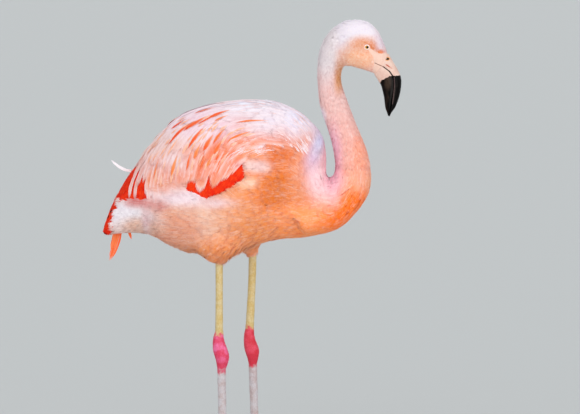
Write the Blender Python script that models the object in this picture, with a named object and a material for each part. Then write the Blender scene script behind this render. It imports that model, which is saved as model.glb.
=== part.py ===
"""A life-size Chilean flamingo standing on both feet, neck in one S-bend, wings folded.

The bird faces +X, its left side is +Y and the soles of its feet are at Z = 0.
The plumage is modelled out to the tips of the feathers. The head, neck and trunk
are lofted from paired outline stations, then parted by thin cuts.
"""

import math

import bmesh
import bpy
from mathutils import Vector

# ---- driving sizes, in metres ---------------------------------------------------
GAP = 0.0003            # clearance between neighbouring solids
FLOOR = 0.0

# Head and neck, from the bill's root down into the breast:
# (crown or nape x, z), (chin or throat x, z), half width across the bird.
NECK_STATIONS = (
    (0.264, 0.851, 0.237, 0.811, 0.0160),
    (0.255, 0.873, 0.227, 0.815, 0.0195),
    (0.243, 0.893, 0.214, 0.819, 0.0225),
    (0.221, 0.912, 0.200, 0.822, 0.0245),
    (0.190, 0.914, 0.187, 0.827, 0.0250),
    (0.161, 0.899, 0.180, 0.829, 0.0245),
    (0.142, 0.875, 0.177, 0.827, 0.0235),
    (0.130, 0.838, 0.174, 0.816, 0.0225),
    (0.127, 0.799, 0.174, 0.795, 0.0220),
    (0.132, 0.746, 0.188, 0.754, 0.0240),
    (0.148, 0.701, 0.205, 0.709, 0.0265),
    (0.159, 0.658, 0.2255, 0.658, 0.0310),
    (0.161, 0.623, 0.2345, 0.607, 0.0370),
    (0.152, 0.604, 0.228, 0.574, 0.0450),
    (0.136, 0.592, 0.205, 0.539, 0.0570),
    (0.113, 0.580, 0.166, 0.505, 0.0700),
    (0.074, 0.572, 0.103, 0.491, 0.0800),
)
NECK_RINGS, NECK_SIDES = 42, 18

# Trunk with folded wings and tail: x, top z, bottom z, half width.
TRUNK_STATIONS = (
    (0.1445, 0.650, 0.580, 0.022),
    (0.1380, 0.688, 0.528, 0.047),
    (0.1170, 0.718, 0.494, 0.068),
    (0.0930, 0.738, 0.488, 0.083),
    (0.0500, 0.758, 0.4865, 0.096),
    (0.0000, 0.763, 0.4690, 0.102),
    (-0.0500, 0.759, 0.455, 0.102),
    (-0.1000, 0.749, 0.455, 0.096),
    (-0.1500, 0.726, 0.471, 0.083),
    (-0.2000, 0.673, 0.496, 0.062),
    (-0.2450, 0.609, 0.499, 0.037),
    (-0.2750, 0.550, 0.497, 0.017),
    (-0.2900, 0.506, 0.489, 0.006),
)
TRUNK_RINGS, TRUNK_SIDES = 26, 22
EGG = 0.10              # how much wider the trunk is above its middle than below

# Lower edge of the folded wing, seen from the side, from the shoulder to the tip.
WING_EDGE = (
    (0.100, 0.700), (0.088, 0.664), (0.058, 0.642), (0.015, 0.636), (-0.018, 0.634),
    (-0.045, 0.604), (-0.089, 0.566), (-0.130, 0.549), (-0.170, 0.562), (-0.215, 0.570),
    (-0.250, 0.562), (-0.272, 0.535), (-0.284, 0.508), (-0.300, 0.480),
)
WING_THICKNESS = 0.018
WING_CORE_REAR = -0.205  # behind this the two wings meet on the midline
TAIL_ROOT_X = -0.190

# Where the neck is parted, as heights, and where it meets the head and the trunk, as x.
ARCH_CUT_Z, UPPER_NECK_CUT_Z, LOWER_NECK_CUT_Z = 0.810, 0.720, 0.630
HEAD_CUT_X, BREAST_CUT_X = 0.186, 0.150
NECK_ROOT_TOP_Z = 0.606

# Bill: mouth line, culmen and gonys (x, z each), half width of upper and lower half.
BILL_STATIONS = (
    (0.250, 0.829, 0.264, 0.851, 0.237, 0.811, 0.0135, 0.0140),
    (0.261, 0.821, 0.2745, 0.833, 0.245, 0.799, 0.0140, 0.0138),
    (0.271, 0.811, 0.2835, 0.817, 0.251, 0.789, 0.0142, 0.0136),
    (0.275, 0.799, 0.2895, 0.802, 0.254, 0.778, 0.0138, 0.0128),
    (0.275, 0.783, 0.2890, 0.783, 0.257, 0.765, 0.0125, 0.0116),
    (0.272, 0.766, 0.2850, 0.764, 0.2585, 0.752, 0.0104, 0.0096),
    (0.270, 0.748, 0.2785, 0.747, 0.2605, 0.739, 0.0072, 0.0066),
    (0.266, 0.729, 0.2695, 0.728, 0.2630, 0.7295, 0.0028, 0.0025),
)
BILL_RINGS, BILL_SIDES = 14, 9

EYE_CENTRE = (0.2225, 0.0184, 0.8645)
EYE_RADIUS = 0.0062

# Legs. Each leg's stations: x, z, depth radius (along X), width radius (across).
LEG_Y = 0.036
LEG_SIDES = 12
NEAR_LEG = {            # the right leg, a short step behind
    "thigh": (
        (-0.050, 0.548, 0.020, 0.016), (-0.054, 0.537, 0.038, 0.030),
        (-0.061, 0.506, 0.050, 0.038), (-0.065, 0.479, 0.050, 0.034),
        (-0.066, 0.464, 0.042, 0.027), (-0.0695, 0.4525, 0.0215, 0.0160),
        (-0.0640, 0.444, 0.0094, 0.0088),
    ),
    "tibia": ((-0.0635, 0.444, 0.0072, 0.0068), (-0.0635, 0.380, 0.0070, 0.0064),
              (-0.0640, 0.309, 0.0078, 0.0068)),
    "ankle": (
        (-0.0640, 0.309, 0.0085, 0.0072), (-0.0655, 0.294, 0.0110, 0.0092),
        (-0.0615, 0.273, 0.0146, 0.0112), (-0.0585, 0.261, 0.0140, 0.0108),
        (-0.0580, 0.250, 0.0118, 0.0094), (-0.0595, 0.236, 0.0082, 0.0070),
    ),
    "tarsus_foot_x": -0.0560,
}
FAR_LEG = {             # the left leg, a short step ahead
    "thigh": (
        (0.006, 0.548, 0.018, 0.016), (0.005, 0.538, 0.034, 0.030),
        (-0.002, 0.508, 0.042, 0.038), (-0.008, 0.480, 0.033, 0.030),
        (-0.005, 0.465, 0.022, 0.020), (0.001, 0.453, 0.0120, 0.0110),
        (0.001, 0.445, 0.0096, 0.0088),
    ),
    "tibia": ((0.001, 0.445, 0.0076, 0.0068), (-0.0015, 0.380, 0.0074, 0.0064),
              (-0.0055, 0.303, 0.0084, 0.0068)),
    "ankle": (
        (-0.0055, 0.303, 0.0088, 0.0072), (-0.0065, 0.286, 0.0108, 0.0092),
        (-0.0018, 0.265, 0.0144, 0.0112), (0.0000, 0.254, 0.0130, 0.0108),
        (0.0008, 0.244, 0.0104, 0.0092), (0.0005, 0.234, 0.0083, 0.0070),
    ),
    "tarsus_foot_x": 0.0075,
}
TARSUS_DEPTH, TARSUS_WIDTH = 0.0080, 0.0062
HUB_TOP_Z, HUB_RADIUS, HUB_SOLE = 0.020, 0.0108, 0.0098

# Toes: name, heading from straight ahead (positive turns outwards), length, root width.
TOES = (
    ("inner", -33.0, 0.062, 0.0052),
    ("middle", 2.0, 0.080, 0.0056),
    ("outer", 37.0, 0.070, 0.0052),
    ("hind", 168.0, 0.019, 0.0034),
)
TOE_SIDES, TOE_RINGS = 8, 8
TOE_TIP_SHARE = 0.62    # the tip's width and height over the root's
TOE_HEIGHT_SHARE = 1.75  # height over half width
PAD_SWELL, PADS_EACH = 0.10, 3
CLAW_LENGTH_SHARE, CLAW_RADIUS_SHARE = 0.11, 0.50
WEB_REACH = 0.84        # share of each toe's length that the web follows
WEB_HOLLOW = 0.80       # how far the free edge draws back between the toes
WEB_BOTTOM_Z, WEB_THICKNESS = 0.0010, 0.0020

# Loose feathers that stand clear of the body: route (x, y, z) and radii.
CURLED_PLUME = ((-0.222, 0.004, 0.618), (-0.236, 0.004, 0.6205), (-0.252, 0.004, 0.6245),
                (-0.265, 0.004, 0.6325), (-0.276, 0.004, 0.6450))
CURLED_PLUME_WIDTHS = (0.0024, 0.0012)
HANGING_PLUME = ((-0.2590, 0.008, 0.518), (-0.2645, 0.010, 0.500), (-0.2700, 0.011, 0.485),
                 (-0.2755, 0.011, 0.467), (-0.2810, 0.011, 0.444))
HANGING_PLUME_WIDTHS = (0.0076, 0.0014)
PLUME_RINGS, PLUME_SIDES, BLADE_HALF_THICKNESS = 11, 6, 0.0011

# Plain colours: name, (r, g, b), roughness.
COLOURS = {
    "plumage": ((0.86, 0.45, 0.33), 0.85),
    "wing": ((0.90, 0.62, 0.55), 0.80),
    "bill_base": ((0.86, 0.68, 0.58), 0.45),
    "bill_tip": ((0.03, 0.025, 0.02), 0.35),
    "eye": ((0.85, 0.50, 0.08), 0.10),
    "leg": ((0.72, 0.62, 0.40), 0.55),
    "ankle": ((0.66, 0.10, 0.13), 0.55),
    "foot": ((0.62, 0.20, 0.20), 0.60),
    "claw": ((0.06, 0.05, 0.05), 0.40),
    "crimson": ((0.80, 0.10, 0.03), 0.75),
    "white": ((0.90, 0.86, 0.86), 0.80),
}


# ---- general tools --------------------------------------------------------------
def clear_scene():
    for obj in list(bpy.data.objects):
        bpy.data.objects.remove(obj, do_unlink=True)


def material(name):
    colour, roughness = COLOURS[name]
    found = bpy.data.materials.get(name)
    if found:
        return found
    made = bpy.data.materials.new(name)
    made.use_nodes = True
    shader = made.node_tree.nodes["Principled BSDF"]
    shader.inputs["Base Color"].default_value = (*colour, 1.0)
    shader.inputs["Roughness"].default_value = roughness
    shader.inputs["Metallic"].default_value = 0.0
    made.diffuse_color = (*colour, 1.0)
    return made


def through(rows, count):
    """`count` rows of numbers evenly spaced along a Catmull-Rom curve through `rows`."""
    last = len(rows) - 1
    made = []
    for i in range(count):
        at = last * i / (count - 1)
        k = min(int(at), last - 1)
        t = at - k
        before = rows[k - 1] if k else [2 * a - b for a, b in zip(rows[0], rows[1])]
        after = rows[k + 2] if k + 2 <= last else [2 * a - b for a, b in zip(rows[last], rows[last - 1])]
        made.append([
            0.5 * (2 * b + (c - a) * t + (2 * a - 5 * b + 4 * c - d) * t * t
                   + (3 * b - a - 3 * c + d) * t ** 3)
            for a, b, c, d in zip(before, rows[k], rows[k + 1], after)
        ])
    return made


def new_object(name, mesh, collection, finish=None):
    obj = bpy.data.objects.new(name, mesh)
    collection.objects.link(obj)
    if finish:
        mesh.materials.clear()
        mesh.materials.append(material(finish))
    return obj


def loft(name, rings, collection, finish=None):
    """A closed solid through rings of equally many points, with a flat cap at each end."""
    bm = bmesh.new()
    loops = [[bm.verts.new(point) for point in ring] for ring in rings]
    for here, there in zip(loops, loops[1:]):
        for i in range(len(here)):
            j = (i + 1) % len(here)
            bm.faces.new((here[i], here[j], there[j], there[i]))
    bm.faces.new(loops[0])
    bm.faces.new(loops[-1])
    bmesh.ops.recalc_face_normals(bm, faces=bm.faces)
    mesh = bpy.data.meshes.new(name)
    bm.to_mesh(mesh)
    bm.free()
    mesh.shade_smooth()
    return new_object(name, mesh, collection, finish)


def prism(name, outline, y0, y1, collection):
    """A side-view outline (x, z) carried across the bird from y0 to y1."""
    rings = [[Vector((x, y, z)) for x, z in outline] for y in (y0, y1)]
    return loft(name, rings, collection)


def adopt(obj, collection):
    """Moves an object that an operator has made into one of the two collections."""
    for owner in list(obj.users_collection):
        owner.objects.unlink(obj)
    collection.objects.link(obj)


def block(name, low, high, collection):
    """A box between two corners."""
    bpy.ops.mesh.primitive_cube_add(size=1)
    obj = bpy.context.object
    obj.name = name
    for vertex in obj.data.vertices:
        vertex.co = [(low[k] + high[k]) / 2 + vertex.co[k] * (high[k] - low[k]) for k in range(3)]
    adopt(obj, collection)
    return obj


def combine(obj, other, operation):
    """Applies a Boolean of `other` to `obj` and keeps `other`."""
    modifier = obj.modifiers.new(operation.lower(), "BOOLEAN")
    modifier.operation = operation
    modifier.solver = "EXACT"
    modifier.object = other
    graph = bpy.context.evaluated_depsgraph_get()
    mesh = bpy.data.meshes.new_from_object(obj.evaluated_get(graph))
    obj.modifiers.clear()
    old = obj.data
    mesh.name = obj.name
    obj.data = mesh
    bpy.data.meshes.remove(old)
    return obj


def copy_of(obj, name, collection, finish=None):
    return new_object(name, obj.data.copy(), collection, finish)


# ---- sections -------------------------------------------------------------------
def neck_rings(grow=0.0):
    """Oval sections between the nape line and the throat line."""
    rings = []
    for nape_x, nape_z, throat_x, throat_z, half in through(NECK_STATIONS, NECK_RINGS):
        nape, throat = Vector((nape_x, 0, nape_z)), Vector((throat_x, 0, throat_z))
        centre, up = (nape + throat) / 2, (nape - throat) / 2
        up = up.normalized() * (up.length + grow)
        across = Vector((0, half + grow, 0))
        angles = (math.tau * k / NECK_SIDES for k in range(NECK_SIDES))
        rings.append([centre + up * math.sin(a) + across * math.cos(a) for a in angles])
    return rings


def trunk_rings(grow=0.0, rear=None, shrink=0.0):
    """Egg-shaped upright sections. `shrink` gives the core that lies under the wings."""
    rings = []
    for x, top, bottom, half in through(TRUNK_STATIONS, TRUNK_RINGS):
        if rear is not None and x < rear:
            break
        middle, tall = (top + bottom) / 2, (top - bottom) / 2
        tall = max(tall + grow - shrink, 0.004)
        wide = max(half + grow - shrink, 0.004)
        ring = []
        for k in range(TRUNK_SIDES):
            angle = math.tau * k / TRUNK_SIDES
            rise = math.sin(angle)
            ring.append(Vector((x, wide * math.cos(angle) * (1 + EGG * rise), middle + tall * rise)))
        rings.append(ring)
    return rings


def upright_rings(stations, y, sides=LEG_SIDES, count=None, grow=0.0):
    """Level oval sections: x, z, depth radius, width radius."""
    rows = through(stations, count) if count else stations
    return [
        [Vector((x + (deep + grow) * math.cos(math.tau * k / sides),
                 y + (wide + grow) * math.sin(math.tau * k / sides), z)) for k in range(sides)]
        for x, z, deep, wide in rows
    ]


# ---- head, neck and trunk ---------------------------------------------------------
def wing_cutter(name, side, slack, collection):
    """The region of one folded wing: above its lower edge, outside the trunk's core."""
    edge = [(x, z - slack) for x, z in through(WING_EDGE, 40)]
    front, rear, roof = edge[0][0] + slack, edge[-1][0] - 0.02, 0.80
    outline = [(front, edge[0][1]), *edge[1:], (rear, edge[-1][1]), (rear, roof), (front, roof)]
    inner = -0.001 if slack else GAP / 2
    cutter = prism(name, outline, side * inner, side * 0.20, collection)
    core = loft("core", trunk_rings(rear=WING_CORE_REAR, shrink=WING_THICKNESS + slack), collection)
    return combine(cutter, core, "DIFFERENCE")


def make_body(parts, tools):
    whole = loft("whole_trunk", trunk_rings(), tools)
    neck = loft("whole_neck", neck_rings(), tools)
    for name, low_x, low_z, high_x, high_z in (
        ("head", HEAD_CUT_X, ARCH_CUT_Z, 0.4, 1.0),
        ("neck_arch", 0.0, ARCH_CUT_Z, HEAD_CUT_X - GAP, 1.0),
        ("neck_upper", 0.0, UPPER_NECK_CUT_Z, 0.4, ARCH_CUT_Z - GAP),
        ("neck_middle", 0.0, LOWER_NECK_CUT_Z, 0.4, UPPER_NECK_CUT_Z - GAP),
        ("neck_lower", BREAST_CUT_X + GAP, 0.4, 0.4, LOWER_NECK_CUT_Z - GAP),
    ):
        region = block("region", (low_x, -0.2, low_z), (high_x, 0.2, high_z), tools)
        combine(copy_of(neck, name, parts, "plumage"), region, "INTERSECT")

    trunk = copy_of(whole, "trunk", parts, "plumage")
    root = copy_of(neck, "neck_root", tools)
    combine(root, block("region", (0.0, -0.2, 0.40), (BREAST_CUT_X, 0.2, NECK_ROOT_TOP_Z), tools), "INTERSECT")
    combine(trunk, root, "UNION")

    for side, name in ((-1, "wing_right"), (1, "wing_left")):
        wing = copy_of(whole, name, parts, "wing")
        combine(wing, wing_cutter("wing_region", side, 0.0, tools), "INTERSECT")
        combine(trunk, wing_cutter("wing_room", side, GAP, tools), "DIFFERENCE")

    tail = copy_of(trunk, "tail", parts, "white")
    combine(tail, block("region", (-0.4, -0.2, 0.3), (TAIL_ROOT_X - GAP, 0.2, 0.9), tools), "INTERSECT")
    combine(trunk, block("region", (TAIL_ROOT_X, -0.2, 0.3), (0.4, 0.2, 0.9), tools), "INTERSECT")


def make_eyes(parts, tools):
    head = bpy.data.objects["head"]
    for side, name in ((-1, "eye_right"), (1, "eye_left")):
        centre = (EYE_CENTRE[0], side * EYE_CENTRE[1], EYE_CENTRE[2])
        for made, radius, owner in ((name, EYE_RADIUS, parts), (name + "_room", EYE_RADIUS + GAP, tools)):
            bpy.ops.mesh.primitive_uv_sphere_add(segments=12, ring_count=8, radius=radius, location=centre)
            ball = bpy.context.object
            ball.name = made
            adopt(ball, owner)
            ball.data.shade_smooth()
            if owner is parts:
                ball.data.materials.append(material("eye"))
            else:
                combine(head, ball, "DIFFERENCE")


# ---- bill -------------------------------------------------------------------------
def bill_ring(edge, outer, half):
    """Flat along the mouth line, rounded out to the culmen or the gonys."""
    reach = outer - edge
    start = edge + reach.normalized() * GAP
    return [start + Vector((0, half * math.cos(a), 0)) + reach * math.sin(a) ** 0.85
            for a in (math.pi * k / BILL_SIDES for k in range(BILL_SIDES + 1))]


def make_bill(parts):
    rows = through(BILL_STATIONS, BILL_RINGS)
    clear = Vector((0.0008, 0, -0.0008))       # the bill stands this far off the face
    for name, column, half_column, finish in (
        ("bill_upper", 2, 6, "bill_base"), ("bill_lower", 4, 7, "bill_tip"),
    ):
        rings = []
        for i, row in enumerate(rows):
            edge = Vector((row[0], 0, row[1])) + (clear if i == 0 else Vector())
            outer = Vector((row[column], 0, row[column + 1])) + (clear if i == 0 else Vector())
            rings.append(bill_ring(edge, outer, row[half_column]))
        loft(name, rings, parts, finish)


# ---- legs and feet ----------------------------------------------------------------
def toe_rings(hub, heading, length, root, grow=0.0):
    """Flat-soled sections, swollen at each pad, from inside the hub to the tip."""
    ahead = Vector((math.cos(heading), math.sin(heading), 0))
    across = Vector((-ahead.y, ahead.x, 0))
    rings = []
    for i in range(TOE_RINGS):
        share = i / (TOE_RINGS - 1)
        taper = 1 + (TOE_TIP_SHARE - 1) * share
        pad = 1 + PAD_SWELL * math.cos(math.tau * PADS_EACH * share)
        half = root * taper * pad + grow
        tall = root * TOE_HEIGHT_SHARE * taper * pad + grow
        along = ahead * (length * share + (grow if i == TOE_RINGS - 1 else 0))
        ring = []
        for k in range(TOE_SIDES):
            angle = math.tau * (k + 0.5) / TOE_SIDES
            rise = max(0.0, 0.36 + 0.64 * math.sin(angle)) * tall - (grow if math.sin(angle) < -0.56 else 0)
            ring.append(hub + along + across * half * math.cos(angle) + Vector((0, 0, rise)))
        rings.append(ring)
    return rings


def make_claw(name, tip, ahead, root, length, parts):
    """A blunt nail that carries on from the toe, its point just off the floor."""
    middle = tip + ahead * (GAP * 1.3 + length / 2)
    middle.z = FLOOR + root * 0.95
    lean = (ahead - Vector((0, 0, 0.5 * root / length))).to_track_quat("Z", "X")
    bpy.ops.mesh.primitive_cone_add(vertices=8, radius1=root * 0.80, radius2=root * 0.18,
                                    depth=length, location=middle, rotation=lean.to_euler())
    claw = bpy.context.object
    claw.name = name
    claw.data.shade_smooth()
    claw.data.set_sharp_from_angle(angle=math.radians(50))
    claw.data.materials.append(material("claw"))
    adopt(claw, parts)


def make_web(name, hub, first, second, rooms, parts):
    """The skin between two toes: a thin plate with a drawn-in free edge."""
    ends = [Vector((math.cos(h), math.sin(h), 0)) * length * WEB_REACH for h, length in (first, second)]
    outline = [Vector()]
    for k in range(9):
        t = k / 8
        draw = 1 - (1 - WEB_HOLLOW) * math.sin(math.pi * t)
        outline.append((ends[0] * (1 - t) + ends[1] * t) * draw)
    rings = [
        [hub + point + Vector((0, 0, z)) for point in outline]
        for z in (WEB_BOTTOM_Z, WEB_BOTTOM_Z + WEB_THICKNESS)
    ]
    web = loft(name, rings, parts, "foot")
    for room in rooms:
        combine(web, room, "DIFFERENCE")


def make_leg(side_name, side, sizes, parts, tools):
    y = side * LEG_Y
    thigh = loft(f"thigh_{side_name}", upright_rings(sizes["thigh"], y, 12, 9), parts, "plumage")
    room = loft("thigh_room", upright_rings(sizes["thigh"], y, 12, 9, grow=GAP), tools)
    combine(bpy.data.objects["trunk"], room, "DIFFERENCE")
    below = GAP / 2
    for part, count, finish in (("tibia", 6, "leg"), ("ankle", 9, "ankle")):
        rows = [list(row) for row in sizes[part]]
        rows[0][1] -= below
        rows[-1][1] += below
        loft(f"{part}_{side_name}", upright_rings(rows, y, LEG_SIDES, count), parts, finish)
    thigh_end = sizes["thigh"][-1][1]
    for vertex in thigh.data.vertices:
        if vertex.co.z < thigh_end + below:
            vertex.co.z = thigh_end + below

    knee_x, knee_z = sizes["ankle"][-1][0], sizes["ankle"][-1][1]
    foot_x = sizes["tarsus_foot_x"]
    shaft = (
        (knee_x, knee_z - below, TARSUS_DEPTH * 1.04, TARSUS_WIDTH * 1.08),
        (knee_x * 0.7 + foot_x * 0.3, 0.170, TARSUS_DEPTH, TARSUS_WIDTH),
        (knee_x * 0.4 + foot_x * 0.6, 0.100, TARSUS_DEPTH * 0.95, TARSUS_WIDTH),
        (knee_x * 0.1 + foot_x * 0.9, 0.040, TARSUS_DEPTH, TARSUS_WIDTH * 1.08),
        (foot_x, HUB_TOP_Z, HUB_RADIUS * 0.90, HUB_RADIUS * 0.85),
        (foot_x, HUB_TOP_Z * 0.45, HUB_RADIUS, HUB_RADIUS),
        (foot_x, FLOOR, HUB_SOLE, HUB_SOLE),
    )
    loft(f"tarsus_{side_name}", upright_rings(shaft, y), parts, "leg")
    hub_room = loft("hub_room", upright_rings(
        ((foot_x, 0.04, HUB_RADIUS, HUB_RADIUS), (foot_x, -0.01, HUB_RADIUS, HUB_RADIUS)),
        y, LEG_SIDES, grow=GAP), tools)
    make_toes(side_name, side, Vector((foot_x, y, FLOOR)), hub_room, parts, tools)


def make_toes(side_name, side, hub, hub_room, parts, tools):
    rooms = {}
    for toe, degrees, length, root in TOES:
        heading = side * math.radians(degrees)
        ahead = Vector((math.cos(heading), math.sin(heading), 0))
        claw = CLAW_LENGTH_SHARE * max(length, 0.040)
        made = loft(f"toe_{toe}_{side_name}", toe_rings(hub, heading, length - claw, root), parts, "foot")
        combine(made, hub_room, "DIFFERENCE")
        rooms[toe] = loft("toe_room", toe_rings(hub, heading, length - claw, root, grow=GAP), tools)
        make_claw(f"claw_{toe}_{side_name}", hub + ahead * (length - claw), ahead,
                  root * CLAW_RADIUS_SHARE, claw, parts)
    for toe in ("inner", "outer"):
        combine(bpy.data.objects[f"toe_{toe}_{side_name}"], rooms["middle"], "DIFFERENCE")
    by_name = {toe: (side * math.radians(degrees), length) for toe, degrees, length, _ in TOES}
    for first, second in (("inner", "middle"), ("middle", "outer")):
        make_web(f"web_{first}_{side_name}", hub, by_name[first], by_name[second],
                 (hub_room, rooms[first], rooms[second]), parts)


# ---- loose feathers -----------------------------------------------------------------
def make_plume(name, route, widths, finish, parts, room):
    """A thin blade along a route in the upright plane, cut off where it leaves the body."""
    points = [Vector(p) for p in through(route, PLUME_RINGS)]
    rings = []
    for i, point in enumerate(points):
        share = i / (PLUME_RINGS - 1)
        ahead = (points[min(i + 1, PLUME_RINGS - 1)] - points[max(i - 1, 0)]).normalized()
        broad = Vector((-ahead.z, 0, ahead.x)).normalized()
        swell = math.sin(math.pi * min(0.5 + share * 0.5, 1.0)) ** 0.7 if share < 1 else 0.0
        half = widths[1] * 0.5 + (widths[0] - widths[1] * 0.5) * swell
        thin = BLADE_HALF_THICKNESS * (0.45 + 0.55 * swell)
        rings.append([
            point + broad * half * math.cos(a) + Vector((0, thin * math.sin(a), 0))
            for a in (math.tau * k / PLUME_SIDES for k in range(PLUME_SIDES))
        ])
    combine(loft(name, rings, parts, finish), room, "DIFFERENCE")


# ---- the bird -----------------------------------------------------------------------
def stand_at_origin(parts):
    """Parents everything to one empty, placed so the box round the bird stands centred on the origin."""
    bpy.context.view_layer.update()
    points = [obj.matrix_world @ vertex.co for obj in parts.objects for vertex in obj.data.vertices]
    low, high = ([pick(p[k] for p in points) for k in range(3)] for pick in (min, max))
    frame = bpy.data.objects.new("flamingo_frame", None)
    for obj in list(parts.objects):
        obj.parent = frame
    parts.objects.link(frame)
    frame.location = (-(low[0] + high[0]) / 2, -(low[1] + high[1]) / 2, FLOOR - low[2])
    bpy.context.view_layer.update()


def main():
    clear_scene()
    scene = bpy.context.scene
    parts = bpy.data.collections.new("flamingo")
    tools = bpy.data.collections.new("cutters")
    scene.collection.children.link(parts)
    scene.collection.children.link(tools)

    make_body(parts, tools)
    make_eyes(parts, tools)
    make_bill(parts)
    make_leg("right", -1, NEAR_LEG, parts, tools)
    make_leg("left", 1, FAR_LEG, parts, tools)
    body_room = loft("body_room", trunk_rings(grow=GAP), tools)
    make_plume("plume_curled", CURLED_PLUME, CURLED_PLUME_WIDTHS, "white", parts, body_room)
    make_plume("plume_hanging", HANGING_PLUME, HANGING_PLUME_WIDTHS, "crimson", parts, body_room)

    stand_at_origin(parts)
    for cutter in tools.objects:
        cutter.hide_render = True
        cutter.display_type = "WIRE"


main()
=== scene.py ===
"""A standing flamingo at life size: skin, feathers, bill, eyes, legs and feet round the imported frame."""
import math

import bpy
import numpy as np
from mathutils.bvhtree import BVHTree
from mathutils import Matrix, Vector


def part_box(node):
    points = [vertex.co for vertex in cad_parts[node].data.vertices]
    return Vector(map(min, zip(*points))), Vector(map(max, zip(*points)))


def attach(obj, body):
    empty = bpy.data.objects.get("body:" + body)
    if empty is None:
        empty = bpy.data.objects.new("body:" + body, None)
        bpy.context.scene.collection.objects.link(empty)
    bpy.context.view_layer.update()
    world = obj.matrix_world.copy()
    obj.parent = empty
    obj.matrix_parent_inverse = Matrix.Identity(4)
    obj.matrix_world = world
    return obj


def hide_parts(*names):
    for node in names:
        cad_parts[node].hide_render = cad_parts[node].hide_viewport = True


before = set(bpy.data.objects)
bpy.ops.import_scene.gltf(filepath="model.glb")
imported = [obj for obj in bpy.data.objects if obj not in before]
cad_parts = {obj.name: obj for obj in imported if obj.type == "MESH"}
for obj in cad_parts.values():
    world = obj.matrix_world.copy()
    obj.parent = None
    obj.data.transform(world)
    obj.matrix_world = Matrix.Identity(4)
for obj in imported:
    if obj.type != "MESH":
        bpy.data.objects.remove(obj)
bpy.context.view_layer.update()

DRAW = np.random.default_rng(416)
BODY = "root"
SIDES = {"right": -1.0, "left": 1.0}   # the two sides of the bird, and which way across it each is


# ---------------------------------------------------------------- the bird's plan
# all places in metres, seen from the side
EYE_X, EYE_Z, EYE_Y, EYE_RADIUS = 0.2225, 0.8645, 0.0184, 0.0062
ANKLE_TOP_Z, ANKLE_FOOT_Z = 0.3045, 0.2360
FOOT_TOP_Z = 0.030

BARE_FACE = (
    (0.2225, 0.8645), (0.229, 0.8625), (0.237, 0.8575), (0.245, 0.8525), (0.253, 0.8515), (0.262, 0.8525),
    (0.272, 0.845), (0.262, 0.815), (0.240, 0.806), (0.2345, 0.817), (0.2355, 0.826), (0.2362, 0.834),
    (0.2350, 0.846), (0.226, 0.857),
)
WING_EDGE = (
    (-0.198, 0.574), (-0.182, 0.568), (-0.165, 0.576), (-0.147, 0.590), (-0.122, 0.605), (-0.104, 0.604),
    (-0.087, 0.616), (-0.074, 0.608), (-0.062, 0.612), (-0.047, 0.628), (-0.036, 0.646), (-0.026, 0.660),
    (-0.014, 0.677), (0.006, 0.687), (0.032, 0.690),
)
PLUME_FIELD = (
    (-0.275, 0.590), (-0.256, 0.604), (-0.240, 0.622), (-0.222, 0.616), (-0.207, 0.610),
) + WING_EDGE + (
    (0.052, 0.704), (0.066, 0.722), (0.070, 0.790), (-0.310, 0.790), (-0.330, 0.600),
)
SLIT_EDGE = (
    (-0.120, 0.596), (-0.109, 0.589), (-0.096, 0.580), (-0.077, 0.587), (-0.057, 0.597), (-0.037, 0.611),
    (-0.017, 0.621), (-0.018, 0.632), (-0.022, 0.651),
)
SLIT_FIELD = SLIT_EDGE + (
    (-0.030, 0.657), (-0.045, 0.648), (-0.060, 0.630), (-0.087, 0.622), (-0.108, 0.614), (-0.122, 0.606),
)
REAR_FIELD = (
    (-0.199, 0.556), (-0.199, 0.612), (-0.222, 0.628), (-0.238, 0.626), (-0.250, 0.600), (-0.262, 0.580),
    (-0.292, 0.510), (-0.300, 0.480), (-0.284, 0.476), (-0.283, 0.492), (-0.276, 0.522), (-0.265, 0.553),
    (-0.250, 0.558), (-0.222, 0.557),
)
TAIL_FIELD = (
    (-0.284, 0.470), (-0.283, 0.492), (-0.276, 0.522), (-0.265, 0.553), (-0.250, 0.560), (-0.236, 0.561),
    (-0.205, 0.561), (-0.188, 0.556), (-0.172, 0.540), (-0.180, 0.500), (-0.205, 0.470), (-0.280, 0.440),
)
FLANK_LINE = ((-0.186, 0.566), (-0.176, 0.574), (-0.160, 0.582), (-0.142, 0.589), (-0.122, 0.592))
TAIL_EDGE = ((-0.268, 0.556), (-0.250, 0.564), (-0.236, 0.565), (-0.215, 0.565), (-0.198, 0.561))
HIP_LINE = ((-0.186, 0.556), (-0.193, 0.538), (-0.195, 0.520), (-0.188, 0.502), (-0.176, 0.490))
# bright streaks in the middles of some plumes: where each ends, its length, half width and how orange it is
STREAKS = (
    (-0.133, 0.700, 0.054, 0.0036, 0.1), (-0.160, 0.675, 0.060, 0.0030, 0.0),
    (-0.156, 0.702, 0.034, 0.0020, 0.1), (-0.121, 0.672, 0.046, 0.0030, 0.1),
    (-0.087, 0.725, 0.042, 0.0030, 0.1), (-0.107, 0.713, 0.044, 0.0018, 0.2),
    (-0.114, 0.731, 0.042, 0.0014, 0.3), (-0.092, 0.668, 0.032, 0.0036, 0.3),
    (-0.074, 0.680, 0.036, 0.0024, 0.5), (-0.073, 0.662, 0.030, 0.0036, 0.5),
    (-0.069, 0.650, 0.020, 0.0018, 0.4), (-0.124, 0.628, 0.036, 0.0018, 0.4),
    (-0.097, 0.635, 0.026, 0.0020, 0.5), (-0.109, 0.650, 0.030, 0.0030, 0.9),
    (-0.086, 0.638, 0.024, 0.0022, 0.9), (-0.153, 0.618, 0.036, 0.0030, 1.0),
    (-0.187, 0.609, 0.036, 0.0014, 0.7), (-0.047, 0.684, 0.048, 0.0020, 0.8),
    (-0.032, 0.720, 0.052, 0.0018, 0.8), (-0.074, 0.720, 0.028, 0.0018, 0.8),
)
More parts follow.
